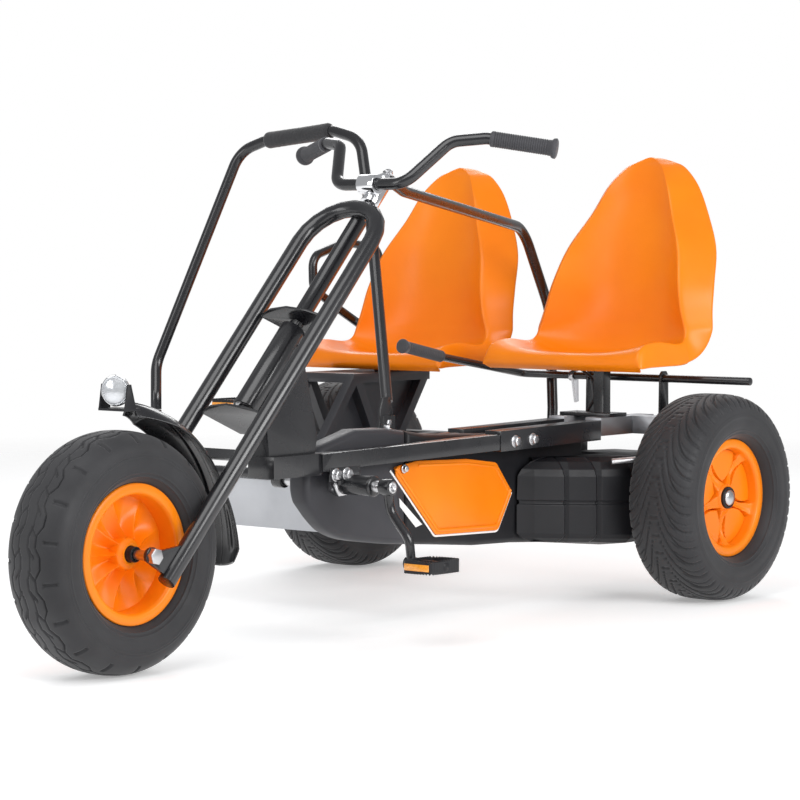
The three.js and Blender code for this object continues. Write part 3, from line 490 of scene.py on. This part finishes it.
# Rows up the shell: rim x, rim z, half width, skirt run, depth of the middle. The heights are the driver's.
SEAT_PAN = [
    (-1.424, 0.525, 0.198, 0.000, 0.000),
    (-1.409, 0.539, 0.206, 0.006, 0.002),
    (-1.413, 0.564, 0.210, 0.032, 0.008),
    (-1.440, 0.584, 0.212, 0.050, 0.022),
    (-1.494, 0.590, 0.214, 0.055, 0.036),
    (-1.560, 0.584, 0.214, 0.048, 0.038),
    (-1.594, 0.590, 0.212, 0.048, 0.042),
]
NARROW_HALF = 0.04  # below this half width the rolled edge shrinks too
SEAT_BACK = [
    (-1.608, 0.614, 0.205, 0.052, 0.052),
    (-1.612, 0.660, 0.190, 0.062, 0.060),
    (-1.622, 0.720, 0.176, 0.072, 0.058),
    (-1.652, 0.800, 0.154, 0.078, 0.044),
    (-1.690, 0.880, 0.112, 0.074, 0.026),
    (-1.716, 0.945, 0.082, 0.062, 0.014),
    (-1.742, 0.986, 0.052, 0.044, 0.006),
    (-1.757, 1.002, 0.027, 0.030, 0.003),
    (-1.763, 1.009, 0.012, 0.018, 0.001),
    (-1.767, 1.0125, 0.001, 0.004, 0.0),
]


def catmull(rows, per_span):
    """Rows resampled along a smooth curve through them."""
    rows = np.array(rows, float)
    padded = np.concatenate([rows[:1], rows, rows[-1:]])
    out = []
    for i in range(len(rows) - 1):
        a, b, c, d = padded[i:i + 4]
        for t in np.linspace(0, 1, per_span, endpoint=False):
            out.append(0.5 * (2 * b + (c - a) * t + (2 * a - 5 * b + 4 * c - d) * t ** 2
                              + (3 * b - a - 3 * c + d) * t ** 3))
    out.append(rows[-1])
    return np.array(out)


def seat(node, drop):
    middle_y = centre(node).y
    pan = [(*row, 0.0) for row in SEAT_PAN]
    back = [(*row, 1.0) for row in SEAT_BACK]
    rows = catmull(pan + back, 6)
    across = np.concatenate([np.linspace(0, 0.86, 22), np.linspace(0.88, 1.0, 9)])
    across = np.concatenate([-across[::-1][:-1], across])
    vertices = []
    for x, z, half, skirt, depth, leaning in rows:
        leaning = min(1.0, max(0.0, leaning))
        for t in across:
            inside = min(1.0, abs(t) / 0.9)
            turn = max(0.0, (abs(t) - 0.9) / 0.1)
            roll = 0.006 * math.sin(min(1.0, turn * 1.2) * math.pi / 2) if turn else 0.0
            fall = depth * (1 - inside ** 2.6) + skirt * turn
            edge = (0.006 * turn + roll) * min(1.0, half / NARROW_HALF) / max(turn, 0.01)
            flare = (0.55 * skirt * leaning + edge) * turn
            y = middle_y + math.copysign(half * inside + flare, t)
            back, down = math.sin(leaning * math.pi / 2), math.cos(leaning * math.pi / 2)
            vertices.append((x - fall * back, y, z - drop - fall * down))
    faces = grid_faces(len(rows), len(across))
    obj = piece("look_" + node, vertices, faces, "orange_plastic", "frame", replaces=(node,))
    thick = obj.modifiers.new("wall", "SOLIDIFY")
    thick.thickness = 0.0042
    thick.offset = 0
    rounded = obj.modifiers.new("soft", "SUBSURF")
    rounded.levels = 1
    rounded.render_levels = 1
    return obj


# ---------------------------------------------------------------- plates, tubes and fasteners

def plate_xz(name, outline, y0, y1, slot, body, edge=0.0012, **options):
    """A flat plate with its outline in X and Z and rounded edges."""
    count = len(outline)
    vertices = [(x, y, z) for y in (y0, y1) for x, z in outline]
    faces = [tuple(range(count)), tuple(range(2 * count - 1, count - 1, -1))]
    faces += [(k, (k + 1) % count, count + (k + 1) % count, count + k) for k in range(count)]
    return bevelled(piece(name, vertices, faces, slot, body, **options), edge)


def hex_bolt(name, place, direction, size, body, slot="zinc"):
    """A flanged hex head with a domed crown, proud of the face it sits on."""
    direction = Vector(direction).normalized()
    washer = [(0, size * 0.66), (0.0016, size * 0.64), (0.0022, size * 0.56)]
    turned(name + "_flange", place, direction, washer, slot, body, sides=28)
    crown = [(0, size * 0.5), (size * 0.36, size * 0.5), (size * 0.44, size * 0.40)]
    head = turned(name + "_head", Vector(place) + direction * 0.002, direction, crown, slot, body, sides=6)
    bevelled(head, 0.0004, angle=25.0)


# Corner points of the bent tubes.
HOOP_OUTER = (-1.119, -0.636, 1.049)
HOOP_INNER = (-1.124, -0.432, 1.067)
HOOP = [
    (-0.920, -0.799, 0.4285), (-0.920, -0.799, 0.462), (-0.949, -0.827, 0.530), (-1.111, -0.710, 1.025),
    HOOP_OUTER, HOOP_INNER, (-1.118, -0.346, 1.045), (-1.065, -0.273, 0.883), (-0.933, -0.114, 0.469),
]
GRIP_INNER = (-0.858, 0.216, 1.025)
GRIP_OUTER = (-0.923, 0.339, 1.003)
LEFT_BAR = [GRIP_OUTER, GRIP_INNER, (-0.822, 0.150, 1.019), (-0.742, 0.092, 0.932)]
STAY = [
    (-0.806, -0.005, 0.944), (-0.900, -0.040, 0.921), (-1.615, -0.262, 0.848), (-1.712, -0.254, 0.651),
    (-1.668, -0.212, 0.420), (-1.655, -0.205, 0.3505),
]
ARM_Y = -0.832
ARMREST = [
    (-1.652, -0.705, 0.3505), (-1.670, -0.705, 0.480), (-1.748, ARM_Y, 0.560), (-1.764, ARM_Y, 0.800),
    (-1.631, ARM_Y, 0.816), (-1.506, ARM_Y, 0.780), (-1.508, ARM_Y, 0.700), (-1.600, ARM_Y, 0.650),
    (-1.722, ARM_Y, 0.590),
]


def smooth_tubes():
    """Bent tubes with finer bends than their CAD nodes."""
    right_bar = [(x, -y, z) for x, y, z in reversed(LEFT_BAR)]
    tubes = [
        ("handlebar", LEFT_BAR + right_bar, 0.045, TUBE_RADIUS, "steering", "handlebar"),
        ("grab_hoop", HOOP, 0.075, TUBE_RADIUS, "frame", "grab_hoop"),
        ("upper_stay", STAY, 0.090, TUBE_RADIUS, "frame", "upper_stay"),
        ("armrest", ARMREST, 0.036, 0.011, "frame", "armrest_loop"),
    ]
    for name, corners, bend, radius, body, node in tubes:
        pipe("look_" + name, rounded_path(corners, bend), radius, "black_steel", body, replaces=(node,))


def hoop_foot():
    """Flattened end of the grab hoop, with the bolt that holds it."""
    hoop_x = (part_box("footrest_tube")[0].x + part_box("footrest_plate")[1].x) / 2 + 0.0115
    foot = [(hoop_x - 0.020, 0.452), (hoop_x - 0.021, 0.410)]
    for angle in np.linspace(-math.pi, 0, 9):
        foot.append((hoop_x + 0.021 * math.cos(angle), 0.405 + 0.013 * math.sin(angle)))
    foot += [(hoop_x + 0.021, 0.410), (hoop_x + 0.020, 0.452)]
    foot += [(hoop_x + 0.012, 0.480), (hoop_x - 0.012, 0.480)]
    plate_xz("hoop_foot", foot, -0.112, -0.104, "black_steel", "frame")
    hex_bolt("hoop_bolt", (hoop_x, -0.104, 0.424), (0, 1, 0), 0.018, "frame")


def crank_fasteners():
    """Caps on the crank arms, and the nut and ring of the crank shell."""
    shell = pivot("crank_spin")
    cap = [(0, 0.0125), (0.002, 0.012), (0.003, 0.0095), (0.0022, 0.006), (0.0005, 0.0055)]
    for side, sign in (("left", 1), ("right", -1)):
        place = (shell.x, sign * 0.158, shell.z)
        turned(f"{side}_crank_cap", place, (0, sign, 0), cap, "zinc", "crank", sides=24)
    nut = [(0, 0.0275), (0.010, 0.0275), (0.012, 0.0245)]
    turned("bearing_nut", (shell.x, 0.0185, shell.z), (0, 1, 0), nut, "zinc", "frame", sides=6)
    ring = [(0, 0.0215), (0.004, 0.0215), (0.006, 0.018)]
    turned("bearing_ring", (shell.x, 0.1062, shell.z), (0, 1, 0), ring, "black_steel", "frame", sides=36)


def fasteners():
    """Visible bolts, nuts and lugs, each on its own face of the CAD, and the brake cable."""
    hoop_foot()
    leftwards = (0, 1, 0)
    rail_face = 0.049
    for index, (x, z) in enumerate(((-1.176, 0.378), (-1.240, 0.379))):
        hex_bolt(f"sleeve_bolt_{index}", (x, rail_face, z), leftwards, 0.021, "frame")
    gusset = [(-0.560, 0.328), (-0.560, 0.356), (-0.655, 0.356), (-0.655, 0.330)]
    gusset_face = 0.0475
    plate_xz("crank_gusset", gusset, 0.0442, gusset_face, "black_steel", "frame")
    for index, x in enumerate((-0.578, -0.612)):
        hex_bolt(f"gusset_bolt_{index}", (x, gusset_face, 0.342), leftwards, 0.021, "frame")
    hex_bolt("panel_bolt", (-0.842, 0.009, 0.336), leftwards, 0.015, "frame")
    hex_bolt("case_nut", (-0.820, -0.020, 0.4195), (0, 0, 1), 0.015, "frame")
    axis = Vector(JOINTS["steering"]["axis"])
    hex_bolt("stay_nut", Vector((-0.7985, 0, 0.9530)) + axis * 0.001, axis, 0.018, "steering")
    crank_fasteners()
    cable = rounded_path([(-1.615, -0.125, 0.505), (-1.612, -0.095, 0.522), (-1.610, -0.050, 0.495),
                          (-1.608, -0.045, 0.450), (-1.606, -0.070, 0.415), (-1.604, -0.100, 0.405)], 0.03)
    pipe("brake_cable", cable, 0.0036, "black_plastic", "frame", sides=12, material="cable")


# ---------------------------------------------------------------- grips and foam

def ribbed(name, node, start, end, radius, flange, body, count=24):
    """A moulded rubber grip: ribs along most of its length and a round flange at its outer end."""
    start, end = Vector(start), Vector(end)
    length = (end - start).length
    profile = [(0, radius * 0.86), (0.002, radius)]
    for k in range(count):
        middle = 0.010 + (length - 0.030) * k / (count - 1)
        profile += [(middle - 0.0014, radius), (middle - 0.0008, radius - 0.0011),
                    (middle + 0.0008, radius - 0.0011), (middle + 0.0014, radius)]
    profile += [(length - 0.012, radius), (length - 0.009, flange * 0.96), (length - 0.006, flange),
                (length - 0.002, flange), (length, flange * 0.82)]
    turned(name, start, end - start, profile, "grip_rubber", body, replaces=(node,))


def grips():
    for side, sign in (("left", 1), ("right", -1)):
        inner, outer = [Vector((x, sign * y, z)) for x, y, z in (GRIP_INNER, GRIP_OUTER)]
        along = (outer - inner).normalized()
        ribbed(f"look_{side}_grip", f"{side}_grip", inner + along * 0.008, outer + along * 0.006,
               0.0165, 0.021, "steering")
    low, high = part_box("brake_grip")
    middle_y = (low.y + high.y) / 2
    ribbed("look_brake_grip", "brake_grip", (-1.328, middle_y, 0.5508), (-1.183, middle_y, 0.5794),
           0.0135, 0.0165, "brake_lever", count=20)


def foam_pad():
    """Soft sleeve on top of the grab hoop, slightly swollen and dimpled, with pinched ends."""
    outer, inner = Vector(HOOP_OUTER), Vector(HOOP_INNER)
    start, end = outer.lerp(inner, 0.03), outer.lerp(inner, 0.965)
    along, side, over = basis(end - start)
    length = (end - start).length
    rings, sides = 90, 56
    rng = np.random.default_rng(7)
    dimples = rng.normal(0, 0.00022, (rings, sides))
    vertices = []
    for i in range(rings):
        t = i / (rings - 1)
        edge = min(t, 1 - t) * length
        radius = 0.0150 + 0.0042 * min(1.0, edge / 0.006) ** 0.5 - 0.0007 * math.sin(math.pi * t)
        for k in range(sides):
            angle = TAU * k / sides
            spoke = side * math.cos(angle) + over * math.sin(angle)
            dimple = dimples[i, k] * (0 < i < rings - 1)
            vertices.append(start + along * (t * length) + spoke * (radius + dimple))
    faces = grid_faces(rings, sides, close_columns=True)
    faces += [tuple(range(sides))[::-1], tuple((rings - 1) * sides + k for k in range(sides))]
    piece("look_hoop_pad", vertices, faces, "foam", "frame", replaces=("hoop_pad",))


# ---------------------------------------------------------------- pedals

PEDAL_WALL = 0.0075
PEDAL_STEPS = 420
PEDAL_TEETH = 42


def pedal_frame(node, body, middle, half_x, half_y):
    """Outer frame of a pedal, with teeth along its top and bottom edges."""
    corners = [(0, half_y), (half_x, half_y), (half_x, -half_y), (-half_x, -half_y), (-half_x, half_y),
               (0, half_y)]
    bent = rounded_path([(x, y, 0) for x, y in corners], 0.011, 8)
    runs = np.cumsum([0] + [(bent[k] - bent[k - 1]).length for k in range(1, len(bent))])
    lengths = np.linspace(0, runs[-1], PEDAL_STEPS, endpoint=False)
    xs = np.interp(lengths, runs, [q.x for q in bent])
    ys = np.interp(lengths, runs, [q.y for q in bent])
    vertices = []
    for inwards, facing in ((False, -1), (False, 1), (True, 1), (True, -1)):
        scale_x = (half_x - PEDAL_WALL) / half_x if inwards else 1.0
        scale_y = (half_y - PEDAL_WALL) / half_y if inwards else 1.0
        for x, y, run in zip(xs, ys, lengths):
            tooth = 0.0032 * (0.5 + 0.5 * math.sin(run / runs[-1] * TAU * PEDAL_TEETH))
            height = facing * (0.0105 + tooth)
            vertices.append((middle.x + x * scale_x, middle.y + y * scale_y, middle.z + height))
    faces = grid_faces(4, PEDAL_STEPS, close_rows=True, close_columns=True)
    obj = piece("look_" + node, vertices, faces, "black_plastic", body, replaces=(node,))
    split = obj.modifiers.new("crease", "EDGE_SPLIT")
    split.split_angle = math.radians(40)


def reflector(name, body, face, facing, low, high, middle_z):
    """Amber block set in the front or back face of a pedal."""
    x0, x1 = sorted((face - facing * 0.002, face + facing * 0.0016))
    y0, y1 = low.y + 0.007, high.y - 0.007
    z0, z1 = middle_z - 0.0068, middle_z + 0.0068
    vertices = [(x, y, z) for x in (x0, x1) for y, z in ((y0, z0), (y1, z0), (y1, z1), (y0, z1))]
    faces = [(0, 1, 2, 3), (7, 6, 5, 4), (0, 4, 5, 1), (1, 5, 6, 2), (2, 6, 7, 3), (3, 7, 4, 0)]
    bevelled(piece(name, vertices, faces, "amber", body), 0.0006)


def pedals():
    for side, body in (("left", "pedal_left"), ("right", "pedal_right")):
        node = f"{side}_pedal"
        low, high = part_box(node)
        middle = (low + high) / 2
        half_x, half_y = (high.x - low.x) / 2, (high.y - low.y) / 2
        pedal_frame(node, body, middle, half_x, half_y)
        barrel = [(0, 0.0105), (2 * half_y - 0.006, 0.0105), (2 * half_y - 0.0035, 0.009)]
        barrel_end = (middle.x, low.y + 0.004, middle.z)
        turned(f"{node}_barrel", barrel_end, (0, 1, 0), barrel, "black_plastic", body)
        x0, x1 = low.x + 0.004, high.x - 0.004
        z0, z1 = middle.z - 0.0045, middle.z + 0.0045
        for index, shift in enumerate((-0.022, 0.022)):
            y = middle.y + shift
            plate_xz(f"{node}_web_{index}", [(x0, z0), (x1, z0), (x1, z1), (x0, z1)], y - 0.004, y + 0.004,
                     "black_plastic", body)
        for index, facing in enumerate((-1, 1)):
            face = middle.x + facing * half_x
            reflector(f"{node}_reflector_{index}", body, face, facing, low, high, middle.z)


# ---------------------------------------------------------------- side panel

PANEL = [(-0.802, 0.340), (-0.953, 0.187), (-1.171, 0.180), (-1.222, 0.261), (-1.164, 0.330), (-1.060, 0.344),
         (-0.892, 0.350)]


def offset_path(path, distance, y):
    """An open path in X and Z moved sideways by a distance, with mitred corners."""
    points = [Vector((x, z)) for x, z in path]
    out = []
    for i, point in enumerate(points):
        before = (point - points[i - 1]).normalized() if i else None
        after = (points[i + 1] - point).normalized() if i < len(points) - 1 else None
        before, after = before or after, after or before
        normal = Vector((-(before.y + after.y), before.x + after.x)).normalized()
        stretch = 1 / max(0.5, normal.dot(Vector((-before.y, before.x))))
        moved = point + normal * distance * stretch
        out.append(Vector((moved.x, y, moved.y)))
    return out


def strip(name, path, inner, outer, y0, y1, slot, body, **options):
    """A flat band that follows a path between two offsets."""
    loops = [offset_path(path, inner, y0), offset_path(path, outer, y0), offset_path(path, outer, y1),
             offset_path(path, inner, y1)]
    count = len(path)
    vertices = [point for loop in loops for point in loop]
    faces = grid_faces(4, count, close_rows=True)
    faces.append(tuple(count * k for k in range(4))[::-1])
    faces.append(tuple(count * (k + 1) - 1 for k in range(4)))
    return piece(name, vertices, faces, slot, body, smooth=False, **options)


def side_panel():
    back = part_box("side_panel")[0].y
    corners = [(x, 0, z) for x, z in PANEL]
    closed = rounded_path([corners[-1]] + corners + [corners[0]], 0.014, 6)[1:-1]
    outline = [(point.x, point.z) for point in closed]
    plate_xz("look_side_panel", outline, back, back + 0.0055, "orange_plastic", "frame", edge=0.0016,
             replaces=("side_panel",))
    lower = [(-0.810, 0.332)] + PANEL[1:4]
    beads = [("panel_bead", lower, 0.0050, 0.0042), ("panel_bead_top", PANEL[3:], 0.0048, 0.0030)]
    for name, path, height, radius in beads:
        line = [tuple(point) for point in offset_path(path, -0.010, back + height)]
        pipe(name, rounded_path(line, 0.02), radius, "orange_plastic", "frame", sides=16)
    stripe = rounded_path([(x, 0, z) for x, z in [(-0.806, 0.336)] + PANEL[1:4]], 0.012, 6)
    strip("panel_stripe", [(point.x, point.z) for point in stripe], 0.0008, 0.0050, back, back + 0.0012,
          "white_film", "frame")
    tag = [(-0.834, 0.274), (-0.836, 0.256), (-0.889, 0.208), (-0.911, 0.2125)]
    plate_xz("blank_tag", tag, back, back + 0.0012, "white_film", "frame", edge=0.0003)


# ---------------------------------------------------------------- moulded case and housing

def shrunk(outline, distance):
    """A closed outline moved inwards by a distance; the outline runs clockwise or anticlockwise."""
    points = [Vector(point) for point in outline]
    area = sum(points[i - 1].cross(points[i]) for i in range(len(points)))
    turn = 1 if area > 0 else -1
    out = []
    for i, point in enumerate(points):
        before = (point - points[i - 1]).normalized()
        after = (points[(i + 1) % len(points)] - point).normalized()
        normal = Vector((-(before.y + after.y), before.x + after.x)).normalized() * turn
        reach = max(0.5, normal.dot(Vector((-before.y, before.x)) * turn))
        out.append(point + normal * (distance / reach))
    return out


def lofted(name, rings, slot, body, **options):
    """A closed body through rings with equal numbers of points, capped at both ends."""
    count = len(rings[0])
    vertices = [point for ring in rings for point in ring]
    faces = grid_faces(len(rings), count, close_columns=True)
    faces += [tuple(range(count))[::-1], tuple((len(rings) - 1) * count + k for k in range(count))]
    return piece(name, vertices, faces, slot, body, **options)


def chain_case():
    """Both halves of the chain case, with a softly rounded outer edge."""
    y0, y1 = -0.050, 0.001
    crank = pivot("crank_spin")
    nose = [(crank.x + 0.084 * math.cos(a), crank.z + 0.084 * math.sin(a))
            for a in np.radians(np.linspace(-28, 73, 22))]
    top = [(-0.700, 0.425), (-0.800, 0.423), (-0.860, 0.415)]
    bottom = [(-0.860, 0.1735), (-0.800, 0.179), (-0.747, 0.186), (-0.700, 0.193), (-0.656, 0.203),
              (-0.612, 0.222), (-0.580, 0.248)]
    bottom = [tuple(row) for row in catmull(bottom, 6)]
    front = nose + top + bottom
    rear = [(-0.8605, 0.415), (-0.930, 0.404), (-1.180, 0.392), (-1.500, 0.392), (-1.500, 0.133),
            (-1.411, 0.133), (-1.237, 0.146), (-1.100, 0.151), (-0.975, 0.163), (-0.8605, 0.1735)]
    levels = [(y0, 0.010), (y0 + 0.003, 0.004), (y0 + 0.010, 0.0), (y1 - 0.014, 0.0), (y1 - 0.008, 0.0015),
              (y1 - 0.004, 0.0045), (y1 - 0.001, 0.009), (y1, 0.013)]
    for name, outline, slot in (("front", front, "grey_plastic"), ("rear", rear, "black_plastic")):
        rings = [[(q.x, y, q.y) for q in shrunk(outline, inset)] for y, inset in levels]
        obj = lofted(f"look_chain_case_{name}", rings, slot, "frame", replaces=(f"chain_case_{name}",))
        split = obj.modifiers.new("crease", "EDGE_SPLIT")
        split.split_angle = math.radians(32)


def hub_housing():
    """Moulded housing round the rear axle: faceted nose, moulding line and bevelled shoulders."""
    plan = [(-1.238, 0.006), (-1.268, 0.034), (-1.326, 0.074), (-1.332, 0.071), (-1.338, 0.079),
            (-1.400, 0.109), (-1.406, 0.106), (-1.412, 0.115), (-1.478, 0.149), (-1.764, 0.149),
            (-1.764, -0.109), (-1.507, -0.109), (-1.507, 0.006)]
    bottom_line = ([-1.765, -1.73, -1.53, -1.48, -1.236], [0.160, 0.119, 0.119, 0.135, 0.149])
    top_line = ([-1.765, -1.740, -1.600, -1.400, -1.236], [0.290, 0.324, 0.331, 0.331, 0.337])
    # Height as a share of the side, and how far the outline is drawn in there.
    levels = [(0.0, 0.020), (0.05, 0.006), (0.10, 0.0), (0.44, 0.0), (0.455, 0.003), (0.485, 0.003),
              (0.50, 0.0), (0.78, 0.001), (0.86, 0.006), (0.95, 0.018), (1.0, 0.034)]
    rings = []
    for level, inset in levels:
        ring = []
        for q in shrunk(plan, inset):
            low = np.interp(q.x, *bottom_line)
            high = np.interp(q.x, *top_line)
            ring.append((q.x, q.y, low + level * (high - low)))
        rings.append(ring)
    obj = lofted("look_hub_housing", rings, "black_plastic", "frame", replaces=("hub_housing",), smooth=False)
    bevelled(obj, 0.0022, angle=8.0)
    rod = [(-1.43, 0.128, 0.322), (-1.47, 0.166, 0.326), (-1.56, 0.178, 0.326)]
    pipe("support_rod", rounded_path(rod, 0.02), 0.0065, "zinc", "frame", sides=20)


# ---------------------------------------------------------------- fender and lamp

def fender():
    """Mudguard with a raised middle ridge, a long side flute and a rounded, flared flap."""
    rows, columns = 110, 61
    axle_z = pivot("front_wheel_spin").z
    half_width = 0.060
    across = np.linspace(-1, 1, columns)
    vertices = []
    for i in range(rows):
        along = i / (rows - 1)
        angle = math.radians(99 + 91 * along)
        taper = min(1.0, 0.25 + 4.2 * along)
        flare = 1 + 0.9 * max(0.0, along - 0.62)
        end = 1 - 2.5 * max(0.0, along - 0.92)
        for t in across:
            radius = 0.280 - 0.023 * abs(t) ** 2.3
            radius += 0.0022 * float(smooth_step(0.20 - abs(t), 0.0, 0.05))
            flute = math.exp(-((abs(t) - 0.55) / 0.10) ** 2) * smooth_step(along, 0.70, 0.75)
            radius -= 0.0030 * float(flute * (1 - smooth_step(along, 0.90, 0.95)))
            lip = math.radians(2.2) * max(0.0, (along - 0.9) / 0.1)
            place = angle - lip * t * t
            vertices.append((radius * math.cos(place), half_width * t * taper * flare * end,
                             axle_z + radius * math.sin(place)))
    obj = piece("look_front_fender", vertices, grid_faces(rows, columns), "black_plastic", "steering",
                replaces=("front_fender",), material="black_steel")
    thick = obj.modifiers.new("wall", "SOLIDIFY")
    thick.thickness = 0.0028
    thick.offset = 1


def headlamp():
    place = centre("headlamp")
    aim = Vector((0.93, 0.30, -0.02))
    turned("look_headlamp", place - aim.normalized() * 0.020, aim,
           [(0, 0.008), (0.004, 0.017), (0.012, 0.0255), (0.018, 0.0285), (0.020, 0.0298), (0.0235, 0.0298),
            (0.0245, 0.0285)], "chrome", "steering", replaces=("headlamp",), sides=64)
    turned("headlamp_lens", place + aim.normalized() * 0.0040, aim,
           [(0, 0.0280), (0.004, 0.0268), (0.008, 0.0222), (0.0105, 0.0150), (0.0115, 0.0080),
            (0.0118, 0.0010)],
           "lens", "steering", sides=64)


# ---------------------------------------------------------------- finish of the CAD nodes

def dress_cad():
    """Gives every carried-over CAD node its slot's material, small bevels and smooth rounds."""
    slots = {entry["node"]: entry["material_slot"] for entry in frame["record"]["subparts"]}
    for name, obj in frame["nodes"].items():
        obj.data.materials.clear()
        obj.data.materials.append(MATERIALS[slots[name]])
        for polygon in obj.data.polygons:
            polygon.material_index = 0
            polygon.use_smooth = True
        weld = obj.modifiers.new("weld", "WELD")
        weld.merge_threshold = 0.00002
        bevelled(obj, 0.0008)


# ---------------------------------------------------------------- stage

CAMERA_PLACE = Vector((3.600, 3.6685, 0.7974))
CAMERA_YAW = math.radians(-140.43)
CAMERA_PITCH = math.radians(-3.146)
CAMERA_LENS = 123.28
SENSOR_WIDTH = 36.0


def camera():
    data = bpy.data.cameras.new("camera")
    data.lens = CAMERA_LENS
    data.sensor_width = SENSOR_WIDTH
    obj = bpy.data.objects.new("camera", data)
    bpy.context.scene.collection.objects.link(obj)
    level = math.cos(CAMERA_PITCH)
    forward = Vector((level * math.cos(CAMERA_YAW), level * math.sin(CAMERA_YAW), math.sin(CAMERA_PITCH)))
    obj.location = CAMERA_PLACE
    obj.rotation_euler = forward.to_track_quat("-Z", "Y").to_euler()
    bpy.context.scene.camera = obj


def area_light(name, place, target, size, power):
    data = bpy.data.lights.new(name, "AREA")
    data.shape = "RECTANGLE"
    data.size, data.size_y = size
    data.energy = power
    obj = bpy.data.objects.new(name, data)
    bpy.context.scene.collection.objects.link(obj)
    obj.location = place
    obj.rotation_euler = (Vector(target) - Vector(place)).to_track_quat("-Z", "Y").to_euler()


def backdrop():
    """White to the camera, and a softer white as the light it gives."""
    world = bpy.data.worlds.new("studio")
    bpy.context.scene.world = world
    world.use_nodes = True
    nodes, links = world.node_tree.nodes, world.node_tree.links
    seen = nodes["Background"]
    seen.inputs["Color"].default_value = (1, 1, 1, 1)
    seen.inputs["Strength"].default_value = 1.0
    lit = nodes.new("ShaderNodeBackground")
    lit.inputs["Color"].default_value = (0.97, 0.98, 1.0, 1)
    lit.inputs["Strength"].default_value = 0.42
    path = nodes.new("ShaderNodeLightPath")
    mix = nodes.new("ShaderNodeMixShader")
    links.new(path.outputs["Is Camera Ray"], mix.inputs["Fac"])
    links.new(lit.outputs["Background"], mix.inputs[1])
    links.new(seen.outputs["Background"], mix.inputs[2])
    links.new(mix.outputs["Shader"], nodes["World Output"].inputs["Surface"])


FLOOR_HALF = 9.0
FADE_START, FADE_END = 2.2, 6.0


def floor_material():
    """Pale floor that fades out into the backdrop with distance from the kart."""
    material, nodes, links, shader = new_material("floor")
    tone = noise(nodes, links, 0.8)
    links.new(ramp(nodes, links, tone.outputs["Fac"], 0.90, 0.92), shader.inputs["Base Color"])
    shader.inputs["Roughness"].default_value = 0.6
    shader.inputs["Emission Color"].default_value = (1, 1, 1, 1)
    shader.inputs["Emission Strength"].default_value = 0.30
    place = nodes.new("ShaderNodeNewGeometry")
    distance = nodes.new("ShaderNodeVectorMath")
    distance.operation = "DISTANCE"
    distance.inputs[1].default_value = (-0.8, -0.2, 0)
    links.new(place.outputs["Position"], distance.inputs[0])
    fade = nodes.new("ShaderNodeMapRange")
    fade.inputs["From Min"].default_value = FADE_START
    fade.inputs["From Max"].default_value = FADE_END
    fade.inputs["To Min"].default_value = 1.0
    fade.inputs["To Max"].default_value = 0.0
    links.new(distance.outputs["Value"], fade.inputs["Value"])
    links.new(fade.outputs["Result"], shader.inputs["Alpha"])
    return material


def studio():
    backdrop()
    middle = (-0.9, -0.2, 0.4)
    area_light("key", (1.6, 0.6, 3.8), middle, (3.0, 3.0), 80)
    area_light("side", (-0.6, 4.2, 2.0), middle, (3.4, 1.6), 120)
    area_light("front", (3.6, -1.6, 1.8), middle, (1.4, 2.6), 40)
    area_light("back", (-3.8, -2.4, 2.8), middle, (2.4, 1.8), 50)
    mesh = bpy.data.meshes.new("floor")
    corners = [(x * FLOOR_HALF, y * FLOOR_HALF, 0) for x, y in ((-1, -1), (1, -1), (1, 1), (-1, 1))]
    mesh.from_pydata(corners, [], [(0, 1, 2, 3)])
    floor = bpy.data.objects.new("floor", mesh)
    bpy.context.scene.collection.objects.link(floor)
    mesh.materials.append(floor_material())
    bpy.context.scene.view_settings.view_transform = "Standard"


# ---------------------------------------------------------------- build

dress_cad()
tyre("front_tyre", "front_wheel", block_tread, 2.5, 2.5, 0.0042)
tyre("left_rear_tyre", "left_wheel", swept_tread, 3.2, 2.0, 0.0038)
tyre("right_rear_tyre", "right_wheel", swept_tread, 3.2, 2.0, 0.0038)
rim("front_rim", "front_wheel", vaned_face, 1, 0.042)
rim("left_rear_rim", "left_wheel", spoked_face, 1, 0.046)
rim("right_rear_rim", "right_wheel", spoked_face, -1, 0.046)
hub_ends()
smooth_tubes()
fasteners()
grips()
foam_pad()
pedals()
side_panel()
fender()
headlamp()
chain_case()
hub_housing()
seat("driver_seat", 0.0)
seat("passenger_seat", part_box("driver_seat")[1].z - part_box("passenger_seat")[1].z)
camera()
studio()
